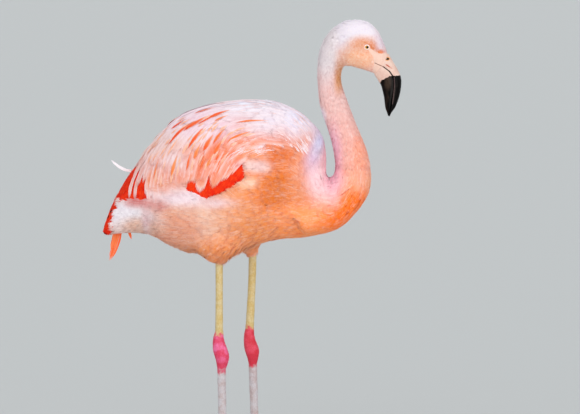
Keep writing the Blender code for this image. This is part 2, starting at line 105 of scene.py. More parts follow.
# plumes that hang free over the rear: where each ends, its length and its half width
HANGING = (
    (-0.1000, 0.589, 0.100, 0.0092), (-0.0760, 0.598, 0.100, 0.0084),
    (-0.2360, 0.569, 0.100, 0.0036), (-0.2250, 0.565, 0.100, 0.0030), (-0.2200, 0.594, 0.095, 0.0050),
    (-0.2080, 0.602, 0.090, 0.0040), (-0.1970, 0.556, 0.120, 0.0038), (-0.1835, 0.556, 0.120, 0.0048),
    (-0.1750, 0.566, 0.115, 0.0052), (-0.2500, 0.592, 0.085, 0.0024), (-0.2290, 0.612, 0.085, 0.0034),
)

# the run of the feathers: place along and up the bird, and heading in degrees from forwards towards up
SHOULDER_RUN = (
    (0.036, 0.695, 176), (0.080, 0.701, 135), (0.111, 0.691, 116), (-0.012, 0.766, 180), (0.093, 0.745, 146),
    (-0.098, 0.753, 200), (0.050, 0.762, 168),
)
WING_RUN = SHOULDER_RUN + (
    (-0.117, 0.722, 218), (-0.116, 0.689, 241), (-0.085, 0.685, 246), (-0.064, 0.680, 243),
    (-0.122, 0.645, 262), (-0.026, 0.697, 205), (-0.010, 0.724, 184), (-0.214, 0.633, 256),
    (-0.175, 0.614, 264), (-0.262, 0.580, 242), (-0.194, 0.682, 228), (-0.156, 0.722, 215),
    (-0.050, 0.625, 240), (-0.030, 0.650, 226), (-0.080, 0.605, 252), (-0.115, 0.600, 262),
    (-0.150, 0.590, 266), (0.000, 0.683, 200), (-0.060, 0.650, 244), (-0.232, 0.610, 258),
    (-0.200, 0.580, 268), (-0.275, 0.545, 240), (-0.288, 0.500, 250), (-0.230, 0.575, 270),
)
COAT_RUN = SHOULDER_RUN + (
    (0.111, 0.657, 112), (0.065, 0.666, 170), (0.020, 0.660, 182), (-0.003, 0.618, 182),
    (0.045, 0.622, 176), (0.093, 0.591, 160), (0.112, 0.618, 125), (-0.070, 0.569, 172),
    (-0.147, 0.581, 170), (-0.166, 0.527, 187), (-0.128, 0.488, 207), (-0.076, 0.467, 215),
    (-0.032, 0.478, 195), (0.036, 0.505, 185), (-0.003, 0.546, 183), (0.074, 0.546, 170),
    (-0.224, 0.546, 184), (-0.253, 0.575, 158), (-0.263, 0.527, 190), (0.203, 0.911, 176),
    (0.244, 0.886, 140), (0.236, 0.859, 150), (0.194, 0.849, 205), (0.217, 0.816, 182),
    (0.163, 0.886, 222), (0.142, 0.843, 252), (0.171, 0.824, 240), (0.146, 0.791, 268),
    (0.157, 0.733, 283), (0.181, 0.674, 285), (0.202, 0.626, 275), (0.220, 0.586, 245),
    (0.191, 0.541, 212), (0.152, 0.516, 192), (0.181, 0.596, 225), (0.142, 0.557, 170),
    (0.128, 0.581, 155), (0.171, 0.606, 262), (-0.260, 0.480, 200), (-0.225, 0.500, 190),
)


# ---------------------------------------------------------------- hand tools
def only(*objects):
    """Selects these objects and nothing else, the first one active."""
    bpy.ops.object.select_all(action="DESELECT")
    for obj in objects:
        obj.select_set(True)
    bpy.context.view_layer.objects.active = objects[0]


def edit(form, *steps):
    """Does steps of edit mode, each an operator and its settings, on the whole of a form."""
    only(form)
    bpy.ops.object.mode_set(mode="EDIT")
    bpy.ops.mesh.select_all(action="SELECT")
    for operator, settings in steps:
        operator(**settings)
    bpy.ops.object.mode_set(mode="OBJECT")


def finish_with(obj, kind, **settings):
    """Adds one modifier and applies it."""
    only(obj)
    modifier = obj.modifiers.new(kind.title(), kind)
    for key, value in settings.items():
        setattr(modifier, key, value)
    bpy.ops.object.modifier_apply(modifier=modifier.name)


def even_out(form, grain, smoothing=0):
    """Makes a form one surface of even grain, and smooths it."""
    finish_with(form, "REMESH", mode="VOXEL", voxel_size=grain, use_smooth_shade=True)
    if smoothing:
        edit(form, (bpy.ops.mesh.vertices_smooth, {"factor": 0.5, "repeat": smoothing}))


def link(name, mesh):
    """A new object for a mesh."""
    obj = bpy.data.objects.new(name, mesh)
    bpy.context.collection.objects.link(obj)
    return obj


def merged_copy(node, swell, name="part"):
    """A node's shape as a new object, its doubles merged and its surface pushed out a little."""
    obj = link(name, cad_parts[node].data.copy())
    edit(obj, (bpy.ops.mesh.remove_doubles, {"threshold": 0.00001}),
         (bpy.ops.transform.shrink_fatten, {"value": swell}))
    return obj


def joined(name, parts):
    """Several objects made one."""
    only(*parts)
    bpy.ops.object.join()
    obj = bpy.context.object
    obj.name = name
    obj.data.name = name
    obj.data.materials.clear()
    return obj


def read(items, key, width=1, kind=float):
    """One property of a mesh's items, as numbers or as rows."""
    flat = np.empty(len(items) * width, kind)
    items.foreach_get(key, flat)
    return flat.reshape(-1, width) if width > 1 else flat


def places_of(mesh):
    """The mesh's points as rows."""
    return read(mesh.vertices, "co", 3)


def normals_of(mesh):
    """The normals of the mesh's points as rows."""
    return read(mesh.vertices, "normal", 3)


def set_places(mesh, places):
    """Puts the mesh's points at these places."""
    mesh.vertices.foreach_set("co", places.ravel())
    mesh.update()


def carry(mesh, **numbers):
    """Stores numbers by name on the mesh's points."""
    for name, values in numbers.items():
        mesh.attributes.new(name, "FLOAT", "POINT").data.foreach_set("value", values.astype(np.float32))


def ramp(value, low, high):
    """0 below low, 1 above high and a smooth rise between; low may be the larger."""
    share = np.clip((value - low) / (high - low), 0.0, 1.0)
    return share * share * (3.0 - 2.0 * share)


def mound(distance, reach, power=2):
    """1 at no distance, falling away softly over about the reach; a higher power has steeper sides."""
    return np.exp(-(distance / reach) ** power)


def blend_of(value, stops):
    """A value read off straight lines between (place, value) stops."""
    places, values = zip(*stops)
    return np.interp(value, places, values)


def inside(field, x, z):
    """Which places lie in the outline, seen from the side."""
    found = np.zeros(np.shape(x), bool)
    for (x0, z0), (x1, z1) in zip(field, field[1:] + field[:1]):
        crosses = (z0 > z) != (z1 > z)
        rise = z1 - z0 if z1 != z0 else 1e-12
        found ^= crosses & (x < (x1 - x0) * (z - z0) / rise + x0)
    return found


def near_line(line, x, z):
    """How far each place is from a line of points, seen from the side."""
    best = np.full(np.shape(x), 9.0)
    for (x0, z0), (x1, z1) in zip(line, line[1:]):
        run, rise = x1 - x0, z1 - z0
        share = np.clip(((x - x0) * run + (z - z0) * rise) / (run * run + rise * rise), 0.0, 1.0)
        best = np.minimum(best, np.hypot(x - x0 - share * run, z - z0 - share * rise))
    return best


def edge_distance(field, x, z):
    """How far each place is inside an outline; less than 0 outside it."""
    gap = near_line(field + field[:1], x, z)
    return np.where(inside(field, x, z), gap, -gap)


def depth_in(field, rows):
    """The same for places given as rows."""
    return edge_distance(field, rows[..., 0], rows[..., 2])


def along(line, count):
    """Evenly spaced places on a line of points."""
    line = np.array(line)
    reach = np.concatenate([[0.0], np.cumsum(np.linalg.norm(np.diff(line, axis=0), axis=1))])
    marks = np.linspace(0.0, reach[-1], count)
    return np.stack([np.interp(marks, reach, line[:, axis]) for axis in range(line.shape[1])], axis=1)


def unit(rows):
    """Rows at length one."""
    return rows / np.maximum(np.linalg.norm(rows, axis=-1, keepdims=True), 1e-9)


def pick(stay, *arrays):
    """Only the chosen rows of each array."""
    return tuple(array[stay] for array in arrays)


# ---------------------------------------------------------------- materials
def tone(red, green, blue):
    """A colour as a paint chart gives it, 0 to 255, in the linear values that a shader works with."""
    values = []
    for step in (red, green, blue):
        share = step / 255.0
        values.append(share / 12.92 if share <= 0.04045 else ((share + 0.055) / 1.055) ** 2.4)
    return (*values, 1.0)


class Val:
    """A socket that takes part in sums."""

    def __init__(self, look, socket):
        self.look = look
        self.socket = socket

    def math(self, operation, *others):
        node = self.look.node("Math", {"operation": operation}, dict(enumerate((self, *others))))
        return Val(self.look, node.outputs[0])

    def __add__(self, other):
        return self.math("ADD", other)

    __radd__ = __add__

    def __sub__(self, other):
        return self.math("SUBTRACT", other)

    def __rsub__(self, other):
        return (self * -1.0) + other

    def __mul__(self, other):
        return self.math("MULTIPLY", other)

    __rmul__ = __mul__

    def __abs__(self):
        return self.math("ABSOLUTE")

    def smooth(self, low, high):
        """0 at low and 1 at high, with a soft start and end; low may be the larger."""
        if low > high:
            return 1.0 - self.smooth(high, low)
        node = self.look.node("MapRange", {"interpolation_type": "SMOOTHSTEP"},
                              {"Value": self, "From Min": low, "From Max": high})
        return Val(self.look, node.outputs["Result"])


class Look:
    """A material, and the few words that its nodes are made with."""

    def __init__(self, name, **finish):
        self.material = bpy.data.materials.new(name)
        self.material.use_nodes = True
        self.tree = self.material.node_tree
        self.shader = next(node for node in self.tree.nodes if node.type == "BSDF_PRINCIPLED")
        for key, value in finish.items():
            self.shader.inputs[key.replace("_", " ")].default_value = value
        self.place = Val(self, self.node("TexCoord").outputs["Object"])
        parts = self.node("SeparateXYZ", {}, {0: self.place})
        self.x, self.y, self.z = (Val(self, socket) for socket in parts.outputs)

    def node(self, kind, settings=None, sockets=None):
        """One node: its type, its settings, then the values or links of its sockets."""
        node = self.tree.nodes.new("ShaderNode" + kind)
        for key, value in (settings or {}).items():
            setattr(node, key, value)
        for key, value in (sockets or {}).items():
            if isinstance(value, Val):
                self.tree.links.new(value.socket, node.inputs[key])
            else:
                node.inputs[key].default_value = value
        return node

    def feed(self, socket, value):
        """Links a value to one of the shader's sockets."""
        self.tree.links.new(value.socket, self.shader.inputs[socket])

    def mix(self, share, first, second, kind="MIX"):
        """Two colours mixed."""
        node = self.node("Mix", {"data_type": "RGBA", "blend_type": kind}, {0: share, 6: first, 7: second})
        return Val(self, node.outputs[2])

    def deeper(self, colour, share=1.0):
        """A colour deepened by itself."""
        return self.mix(share, colour, colour, "MULTIPLY")

    def layers(self, colour, rows):
        """A colour with others over it, one after another, each by its share."""
        for share, over in rows:
            colour = self.mix(share, colour, over)
        return colour

    def vector(self, operation, first, second, output=0):
        """Vector maths on two vectors."""
        node = self.node("VectorMath", {"operation": operation}, {0: first, 1: second})
        return Val(self, node.outputs[output])

    def noise(self, scale, detail=2.0, stretch=None, output=0):
        """Soft noise over the piece, its grain drawn out where stretch says so."""
        place = self.vector("MULTIPLY", self.place, stretch) if stretch else self.place
        node = self.node("TexNoise", {}, {"Vector": place, "Scale": scale, "Detail": detail})
        return Val(self, node.outputs[output])

    def cells(self, scale, stretch):
        """The distance from the edges of a net of cells, such as scales."""
        place = self.vector("MULTIPLY", self.place, stretch)
        node = self.node("TexVoronoi", {"feature": "DISTANCE_TO_EDGE"}, {"Vector": place, "Scale": scale})
        return Val(self, node.outputs[0])

    def patch(self, place, x, z, width, height, soft):
        """A soft oval seen from the side: 1 inside, 0 outside."""
        offset = self.vector("SUBTRACT", place, (x, 0.0, z))
        scaled = self.vector("MULTIPLY", offset, (1.0 / width, 0.0, 1.0 / height))
        reach = self.vector("LENGTH", scaled, (0.0, 0.0, 0.0), output=1)
        return reach.smooth(1.0 + soft, 1.0 - soft)

    def painted(self, colour, place, rows):
        """A colour with soft ovals of other colours laid on it, one after another."""
        for *oval, paint in rows:
            colour = self.mix(self.patch(place, *oval), colour, tone(*paint))
        return colour

    def attribute(self, name):
        """A number that the mesh carries."""
        node = self.node("Attribute", {"attribute_type": "GEOMETRY", "attribute_name": name})
        return Val(self, node.outputs["Fac"])

    def line(self, start, end, width):
        """A soft line drawn between two places seen from the side: 1 on it, 0 away from it."""
        run, rise = end[0] - start[0], end[1] - start[1]
        length = math.hypot(run, rise)
        run, rise = run / length, rise / length
        reach = (self.x - start[0]) * run + (self.z - start[1]) * rise
        away = abs((self.x - start[0]) * rise - (self.z - start[1]) * run)
        ends = reach.smooth(-width, 0.0) * reach.smooth(length + width, length)
        return away.smooth(width, width * 0.45) * ends

    def bump(self, height, strength, distance):
        """Feeds a height to the shader's normal."""
        node = self.node("Bump", {}, {"Height": height, "Strength": strength, "Distance": distance})
        self.feed("Normal", Val(self, node.outputs[0]))

# markings of skin and feathers alike, among them a few patches of painted shade: place along and up, half
# width and height, softness, colour
MARKINGS = (
    (0.030, 0.790, 0.210, 0.080, 0.60, (240, 240, 250)),
    (0.010, 0.706, 0.110, 0.030, 0.60, (230, 166, 158)),
    (-0.140, 0.722, 0.090, 0.056, 0.60, (238, 216, 226)),
    (0.050, 0.730, 0.050, 0.030, 0.60, (234, 222, 232)),
    (0.066, 0.684, 0.050, 0.022, 0.80, (222, 150, 136)),
    (0.100, 0.730, 0.034, 0.040, 0.60, (238, 234, 250)),
    (-0.160, 0.650, 0.080, 0.050, 0.60, (236, 198, 190)),
    (-0.190, 0.610, 0.060, 0.045, 0.60, (236, 180, 170)),
    (-0.092, 0.630, 0.066, 0.042, 0.60, (238, 136, 96)),
    (-0.050, 0.656, 0.046, 0.044, 0.60, (242, 122, 66)),
    (0.000, 0.688, 0.056, 0.014, 0.80, (242, 144, 108)),
    (-0.085, 0.545, 0.090, 0.050, 0.60, (245, 196, 172)),
    (-0.120, 0.576, 0.075, 0.018, 0.70, (248, 226, 232)),
    (-0.012, 0.576, 0.060, 0.040, 0.60, (244, 162, 108)),
    (0.058, 0.600, 0.060, 0.060, 0.80, (236, 122, 34)),
    (0.050, 0.662, 0.052, 0.022, 0.80, (226, 114, 42)),
    (0.000, 0.668, 0.024, 0.014, 0.70, (240, 150, 104)),
    (-0.004, 0.642, 0.028, 0.010, 0.80, (250, 216, 204)),
    (-0.008, 0.610, 0.022, 0.010, 0.80, (250, 200, 168)),
    (0.040, 0.512, 0.090, 0.038, 0.60, (242, 148, 78)),
    (0.105, 0.540, 0.060, 0.040, 0.60, (255, 158, 96)),
    (0.105, 0.495, 0.070, 0.030, 0.60, (255, 150, 76)),
    (0.192, 0.536, 0.060, 0.056, 0.50, (252, 120, 18)),
    (0.056, 0.602, 0.026, 0.028, 1.00, (224, 118, 34)),
    (0.096, 0.604, 0.020, 0.032, 1.00, (234, 140, 84)),
    (0.104, 0.636, 0.022, 0.050, 1.00, (232, 142, 100)),
    (0.120, 0.638, 0.016, 0.050, 1.00, (238, 166, 150)),
    (0.144, 0.600, 0.026, 0.032, 1.00, (250, 194, 192)),
    (0.166, 0.612, 0.020, 0.026, 0.70, (250, 182, 174)),
    (0.130, 0.650, 0.016, 0.030, 1.00, (220, 180, 204)),
    (0.132, 0.690, 0.012, 0.028, 1.00, (222, 220, 246)),
    (0.140, 0.610, 0.020, 0.024, 1.00, (254, 216, 222)),
    (-0.060, 0.465, 0.080, 0.030, 0.60, (240, 150, 90)),
    (-0.150, 0.510, 0.050, 0.040, 0.60, (240, 166, 134)),
    (-0.240, 0.536, 0.052, 0.038, 0.60, (246, 238, 244)),
    (-0.215, 0.512, 0.040, 0.018, 0.70, (240, 196, 176)),
    # a thin greyish-pink line down the flank's rear edge: painted shade in the crease where the flank lies
    # over the undertail
    (-0.200, 0.528, 0.006, 0.030, 1.00, (232, 196, 198)),
    # pink under the wing's lower edge: partly the pink there, partly painted shade under that edge
    (-0.180, 0.562, 0.016, 0.010, 1.00, (228, 158, 150)),
    (-0.216, 0.565, 0.018, 0.010, 1.00, (226, 128, 124)),
    (-0.180, 0.603, 0.018, 0.014, 1.00, (240, 146, 104)),
    (-0.062, 0.566, 0.026, 0.012, 1.00, (242, 208, 208)),
    (-0.084, 0.722, 0.050, 0.020, 1.00, (240, 208, 218)),
    (-0.142, 0.644, 0.024, 0.018, 1.00, (236, 206, 206)),
    (0.014, 0.643, 0.020, 0.012, 1.00, (238, 198, 194)),
    (-0.024, 0.644, 0.010, 0.008, 1.00, (226, 110, 84)),
)

HEAD_MARKINGS = (
    (0.212, 0.646, 0.016, 0.050, 0.60, (246, 166, 138)),
    (0.158, 0.645, 0.016, 0.060, 0.70, (244, 188, 206)),
    (0.184, 0.905, 0.080, 0.040, 0.45, (246, 239, 247)),
    (0.140, 0.865, 0.026, 0.060, 0.50, (238, 228, 231)),
    (0.206, 0.842, 0.034, 0.026, 0.60, (253, 198, 162)),
    (0.214, 0.872, 0.024, 0.012, 0.80, (240, 172, 134)),
    (0.234, 0.866, 0.012, 0.008, 0.80, (234, 144, 92)),
    (0.249, 0.876, 0.010, 0.020, 0.80, (238, 222, 231)),
    (0.246, 0.855, 0.008, 0.005, 0.80, (236, 134, 72)),
    # ochre in the inner bend of the neck under the head: painted shade
    (0.168, 0.806, 0.009, 0.026, 0.80, (222, 150, 88)),
)


def markings(look):
    """The bird's colours by place, a few patches of them painted shade, the same for its skin and every
    feather on it.
    """
    drift = look.vector("SUBTRACT", look.noise(9.0, 1.0, output=1), (0.5, 0.5, 0.5))
    loose, close = (look.vector("ADD", look.place, look.vector("MULTIPLY", drift, (reach,) * 3))
                    for reach in (0.040, 0.010))
    colour = look.painted(tone(241, 168, 132), loose, MARKINGS)
    neck = look.mix(look.z.smooth(0.600, 0.800), tone(242, 170, 152), tone(236, 196, 192))
    on_the_neck = look.x.smooth(0.134, 0.156) * look.z.smooth(0.590, 0.650)
    on_the_neck = on_the_neck + look.x.smooth(0.110, 0.120) * look.z.smooth(0.730, 0.760)
    colour = look.mix(on_the_neck.smooth(0.0, 1.0), colour, neck)
    colour = look.painted(colour, close, HEAD_MARKINGS)
    flecks = look.noise(300.0, 2.0, (1.0, 1.0, 0.7))
    on_the_head = look.z.smooth(0.78, 0.82) * 0.25
    return look.layers(colour, (
        (flecks.smooth(0.50, 0.30) * (0.20 + on_the_head), look.deeper(colour)),
        (flecks.smooth(0.55, 0.70) * (0.08 + on_the_head), tone(255, 240, 236)),
    ))


def plumage_look():
    """Feathers: the markings, a little different from tuft to tuft, paler at the tips, partly their own
    colour and partly painted highlight, and deepened at the roots as painted shade between the tufts.
    """
    look = Look("plumage", Roughness=0.72, Specular_IOR_Level=0.25, Sheen_Weight=0.12)
    colour = markings(look)
    tint, tip, edge = (look.attribute(name) for name in ("tint", "tip", "edge"))
    deeper, pale = look.deeper(colour, 0.60), tone(253, 240, 242)
    look.feed("Base Color", look.layers(colour, (
        ((1.0 - tint).smooth(0.40, 1.0) * 0.30, deeper),
        (tint.smooth(0.50, 1.0) * 0.24, pale),
        # paler tips: partly the feathers' own colour, partly painted highlight
        (tip.smooth(0.50, 1.0) * 0.12, pale),
        (edge.smooth(0.52, 1.0) * 0.36, tone(250, 228, 232)),
        (edge.smooth(0.48, 0.0) * 0.34, deeper),
        # deepened roots: painted shade in the gaps between the tufts
        (tip.smooth(0.30, 0.0) * 0.30, deeper),
    )))
    return look.material


def plain_plume_look(name, paint, pale, fade=None):
    """Feathers of one colour with a paler side, and perhaps rims and roots that fade into the plume below."""
    look = Look(name, Roughness=0.75, Specular_IOR_Level=0.15, Sheen_Weight=0.03)
    tint = look.attribute("tint")
    patchy = look.noise(60.0, 2.0).smooth(0.35, 0.65)
    colour = look.mix(tint * 0.8 + patchy * 0.2, tone(*paint), tone(*pale))
    if fade:
        rims = look.attribute("edge").smooth(0.45, 1.0) * 0.45
        roots = look.attribute("tip").smooth(0.60, 0.0) * 0.55
        colour = look.mix(rims + roots, colour, tone(*fade))
    look.feed("Base Color", colour)
    return look.material


def skin_look():
    """Skin under the coat with its markings, deepened a little as painted shade beneath the feathers, and
    bare pinkish skin on the face with a painted shade line at the corner of the mouth.
    """
    look = Look("skin_under_feathers", Roughness=0.62, Specular_IOR_Level=0.30)
    colour = markings(look)
    # deepened a little: painted shade beneath the feathers
    colour = look.mix(0.12, colour, look.deeper(colour))
    pores = look.noise(900.0, 2.0)
    # a brown line at the corner of the mouth: painted shade in the crease of the gape
    mouth_corner = look.line((0.2378, 0.8336), (0.2510, 0.8276), 0.0010) * 0.9
    face = look.mix(pores.smooth(0.3, 0.7), tone(243, 210, 194), tone(236, 194, 176))
    face = look.layers(face, (
        (look.attribute("lid"), tone(252, 244, 242)),
        (mouth_corner, tone(120, 62, 44)),
    ))
    look.feed("Base Color", look.mix(look.attribute("bare"), colour, face))
    creases = look.noise(420.0, 3.0, (1.0, 1.0, 2.2))
    look.bump(creases * 0.7 + pores * 0.3, 0.35, 0.0006)
    return look.material


def leg_look():
    """Scaly legs: pale yellow shanks, crimson ankles, greyish tarsi and dull red feet."""
    look = Look("scaly_leg_skin", Roughness=0.5, Specular_IOR_Level=0.40)
    scales = look.cells(230.0, (1.0, 1.0, 0.62))
    patchy = look.noise(70.0, 3.0).smooth(0.35, 0.68)
    fine = look.noise(380.0, 2.0)
    shank, tarsus, foot, near_ankle, far_ankle = (look.mix(patchy, tone(*one), tone(*two)) for one, two in (
        ((204, 178, 114), (210, 192, 146)),
        ((198, 192, 196), (188, 170, 170)),
        ((190, 92, 88), (206, 122, 108)),
        ((218, 60, 96), (234, 110, 158)),
        ((208, 42, 62), (222, 72, 96)),
    ))
    ankle = look.mix(look.y.smooth(-0.02, 0.02), near_ankle, far_ankle)
    ankle = look.mix(look.z.smooth(0.264, 0.246) * 0.65, ankle, tone(204, 36, 60))
    height = look.z + (look.noise(120.0, 2.0) - 0.5) * 0.030
    colour = look.layers(foot, (
        (height.smooth(FOOT_TOP_Z, FOOT_TOP_Z + 0.030), tarsus),
        (height.smooth(ANKLE_FOOT_Z - 0.012, ANKLE_FOOT_Z + 0.002), ankle),
        (height.smooth(ANKLE_TOP_Z - 0.004, ANKLE_TOP_Z + 0.008), shank),
    ))
    seams = scales.smooth(0.10, 0.0)
    look.feed("Base Color", look.mix(seams * 0.35, colour, look.deeper(colour)))
    look.feed("Roughness", 0.42 + fine * 0.2 + seams * 0.1)
    look.bump(scales.smooth(0.0, 0.16) * 0.8 + fine * 0.2, 0.45, 0.0008)
    return look.material


def bill_look(name, upper):
    """Horn: pinkish cream at the base, black from the bend to the tip, with painted shade along the mouth and
    in the nostril, and painted sheen and highlight on the black.
    """
    look = Look(name, Roughness=0.34, Specular_IOR_Level=0.10)
    wobble = (look.noise(260.0, 2.0) - 0.5) * 0.0035
    grain = look.noise(140.0, 3.0, (0.5, 1.0, 0.5))
    # mottled wear on the black, and on each half a patch of painted sheen
    wear_and_sheen = look.noise(90.0, 3.0, (1.0, 1.0, 0.35)).smooth(0.50, 0.72)
    pale = look.mix(grain.smooth(0.35, 0.7), tone(232, 202, 188), tone(220, 182, 168))
    if upper:
        black = (look.z + wobble - (look.x - 0.272) * 0.02).smooth(0.8090, 0.8078)
        stain = look.line((0.2596, 0.8302), (0.2712, 0.8226), 0.0017) * 0.60
        stain = stain + look.line((0.2560, 0.8325), (0.2660, 0.8262), 0.0010) * 0.6
        pale = look.mix(stain * grain.smooth(0.35, 0.65), pale, tone(192, 84, 60))
        pale = look.painted(pale, look.place, (
            (0.249, 0.837, 0.0009, 0.0011, 0.4, (188, 84, 66)),
            (0.2622, 0.8410, 0.0052, 0.0036, 0.4, (232, 158, 92)),
            # the nostril's opening filled black: painted shade inside it
            (0.2626, 0.8408, 0.0034, 0.0022, 0.25, (14, 5, 4)),
        ))
        # painted sheen in a band down the upper's front, mottled by the wear
        wear_and_sheen = wear_and_sheen * look.patch(look.place, 0.2795, 0.785, 0.0042, 0.030, 0.5)
    else:
        far_side = (look.z + wobble - 0.8005 - (look.x - 0.254) * 0.58).smooth(0.0008, -0.0006)
        near_side = (look.z + wobble).smooth(0.8086, 0.8074)
        back_edge = (look.x + wobble * 0.5 - 0.2515 + (0.801 - look.z) * 0.42).smooth(-0.0006, 0.0008)
        black = far_side * near_side * back_edge
        # mottled wear, and a brownish panel of painted sheen on the lower's side
        wear_and_sheen = wear_and_sheen * 0.5 + look.patch(look.place, 0.2635, 0.795, 0.0062, 0.014, 0.5) * 0.8
    # dark lines down the mouth where the two halves meet: painted shade of the gap between them
    pale = look.layers(pale, (
        (look.line((0.2420, 0.8318), (0.2565, 0.8248), 0.0012), tone(110, 56, 40)),
        (look.line((0.2555, 0.8252), (0.2668, 0.8168), 0.0013), tone(46, 24, 18)),
        (look.line((0.2665, 0.8172), (0.2728, 0.8080), 0.0018), tone(16, 8, 6)),
    ))
    dark = look.mix(wear_and_sheen, tone(3, 1, 1), tone(58, 44, 36))
    if upper:
        # a pale line down the upper's cutting edge: painted highlight on the black
        lip_highlight = look.line((0.2758, 0.8050), (0.2765, 0.7880), 0.0009)
        lip_highlight = lip_highlight + look.line((0.2765, 0.7880), (0.2730, 0.7530), 0.0009)
        dark = look.mix(lip_highlight * 0.45, dark, tone(130, 104, 104))
    look.feed("Base Color", look.mix(black, pale, dark))
    look.feed("Roughness", 0.40 - black * 0.14 + grain * 0.10)
    look.bump(grain, 0.15, 0.0008)
    return look.material


def eye_look():
    """A wet eye: black pupil set a little forwards, yellow-orange iris and a dark rim."""
    look = Look("eye", Roughness=0.15, Specular_IOR_Level=0.2, Coat_Weight=0.20, Coat_Roughness=0.03)
    rings = ((0.0003, 0.0044, 0.06), (0.0005, 0.0036, 0.20), (0.0008, 0.0025, 0.08))
    iris, inner, pupil = (look.patch(look.place, EYE_X + forward, EYE_Z, reach, reach, soft)
                          for forward, reach, soft in rings)
    ring = look.mix(look.noise(900.0, 2.0).smooth(0.3, 0.7), tone(252, 190, 60), tone(244, 160, 40))
    colour = look.mix(iris, tone(40, 22, 16), look.mix(inner, tone(196, 110, 30), ring))
    look.feed("Base Color", look.mix(pupil, colour, tone(6, 5, 6)))
    return look.material


def claw_look():
    """Dull black horn with fine lines."""
    look = Look("claw_horn", Roughness=0.4, Specular_IOR_Level=0.45)
    lines = look.noise(500.0, 2.0, (0.2, 1.0, 1.0))
    look.feed("Base Color", look.mix(lines, tone(34, 28, 28), tone(70, 58, 54)))
    look.bump(lines, 0.3, 0.0003)
    return look.material


# ---------------------------------------------------------------- skin
BODY_NODES = (
    "trunk", "tail", "wing_right", "wing_left", "neck_lower", "neck_middle", "neck_upper", "neck_arch",
    "head", "thigh_right", "thigh_left",
)
LEG_NODES = [f"{part}_{side}" for part in (
    "tibia", "ankle", "tarsus", "toe_inner", "toe_middle", "toe_outer", "toe_hind", "web_inner", "web_middle",
) for side in SIDES]
SWELL = 0.0005                         # how far copies are pushed out, so that they meet
BODY_GRAIN, LEG_GRAIN, BILL_GRAIN = 0.0040, 0.0015, 0.0008
BILL_WAY = (0.83, 0.0, -0.56)          # forwards, square to the seam between face and bill
SEAM_X, SEAM_Z = 0.250, 0.831          # a place on that seam
FACE_BACK_X, FACE_LOW_Z = 0.185, 0.790
EYE_SIDE_Y = 0.006                     # the face's sides are further out than this
LID_REACH = 0.0066


def coat_depth(x, z):
    """How deep the feathers are over each place of the body."""
    trunk = blend_of(x, (
        (-0.300, 0.0015), (-0.270, 0.0028), (-0.235, 0.0048), (0.060, 0.0048), (0.120, 0.0040),
    ))
    neck = blend_of(z, ((0.600, 0.0036), (0.680, 0.0026), (0.790, 0.0022), (0.860, 0.0018)))
    depth = np.where((x > 0.120) & (z > 0.600), neck, trunk)
    face = ramp(x, 0.190, 0.236) * (z > 0.780)
    depth = depth + (0.0008 - depth) * face
    bare = np.clip(edge_distance(BARE_FACE, x, z) / 0.003, 0.0, 1.0)
    depth = depth * (1.0 - bare * 0.6)
    thigh = ramp(z, 0.470, 0.448) * (x < 0.06)
    return depth + (0.0006 - depth) * thigh


def past_seam(x, z):
    """How far in front of the seam between face and bill each place is."""
    return (x - SEAM_X) * BILL_WAY[0] + (z - SEAM_Z) * BILL_WAY[2]


def bill_root(node):
    """A little of the bill's own shape, so that the skin goes on into the horn."""
    root = merged_copy(node, -0.0006)
    cut = {"plane_co": (0.2585, 0.0, 0.8255), "plane_no": BILL_WAY, "use_fill": True, "clear_outer": True}
    edit(root, (bpy.ops.mesh.bisect, cut))
    places = places_of(root.data)
    back = past_seam(places[:, 0], places[:, 2]) < 0.001815
    places[back] -= np.array(BILL_WAY) * 0.006
    set_places(root.data, places)
    return root


def refine(form, chosen, cuts, smoothing):
    """Splits the faces whose middles are chosen, then smooths them."""
    mesh = form.data
    only(form)
    bpy.ops.object.mode_set(mode="EDIT")
    bpy.ops.mesh.select_all(action="DESELECT")
    bpy.ops.object.mode_set(mode="OBJECT")
    mesh.polygons.foreach_set("select", chosen(*read(mesh.polygons, "center", 3).T))
    bpy.ops.object.mode_set(mode="EDIT")
    bpy.ops.mesh.select_mode(type="FACE")
    if cuts:
        bpy.ops.mesh.subdivide(number_cuts=cuts)
    bpy.ops.mesh.vertices_smooth(factor=0.5, repeat=smoothing)
    bpy.ops.object.mode_set(mode="OBJECT")


def body_form():
    """The body, neck and head under the feathers."""
    parts = [merged_copy(node, SWELL) for node in BODY_NODES]
    parts += [bill_root(node) for node in ("bill_upper", "bill_lower")]
    form = joined("skin", parts)
    even_out(form, BODY_GRAIN, 3)
    for _ in range(3):
        places, normals = places_of(form.data), normals_of(form.data)
        depth = coat_depth(places[:, 0], places[:, 2])[:, None]
        set_places(form.data, places - unit(normals) * depth / 3.0)
    # the belly is lifted a little, to leave room for its longer tufts
    places = places_of(form.data)
    x, y, z = places.T
    lift = ramp(z, 0.490, 0.450) * (x < 0.06) * (x > -0.12)
    places[:, 2] += lift * np.where(y < 0.0, 0.006, 0.007)
    set_places(form.data, places)
    even_out(form, BODY_GRAIN)
    for chosen, cuts, smoothing in (
        # between the thighs, where the neck meets the breast, head, face, lids
        (lambda x, y, z: (x < 0.040) & (x > -0.110) & (z < 0.520) & (z > 0.458), 0, 30),
        (lambda x, y, z: (x < 0.170) & (x > 0.108) & (z < 0.640) & (z > 0.560), 0, 24),
        (lambda x, y, z: (x > 0.150) & (z > 0.795), 1, 6),
        (lambda x, y, z: (x > 0.208) & (z > 0.805), 1, 5),
        (lambda x, y, z: np.hypot(x - EYE_X, z - EYE_Z) < 0.0105, 1, 3),
    ):
        refine(form, chosen, cuts, smoothing)
    return form


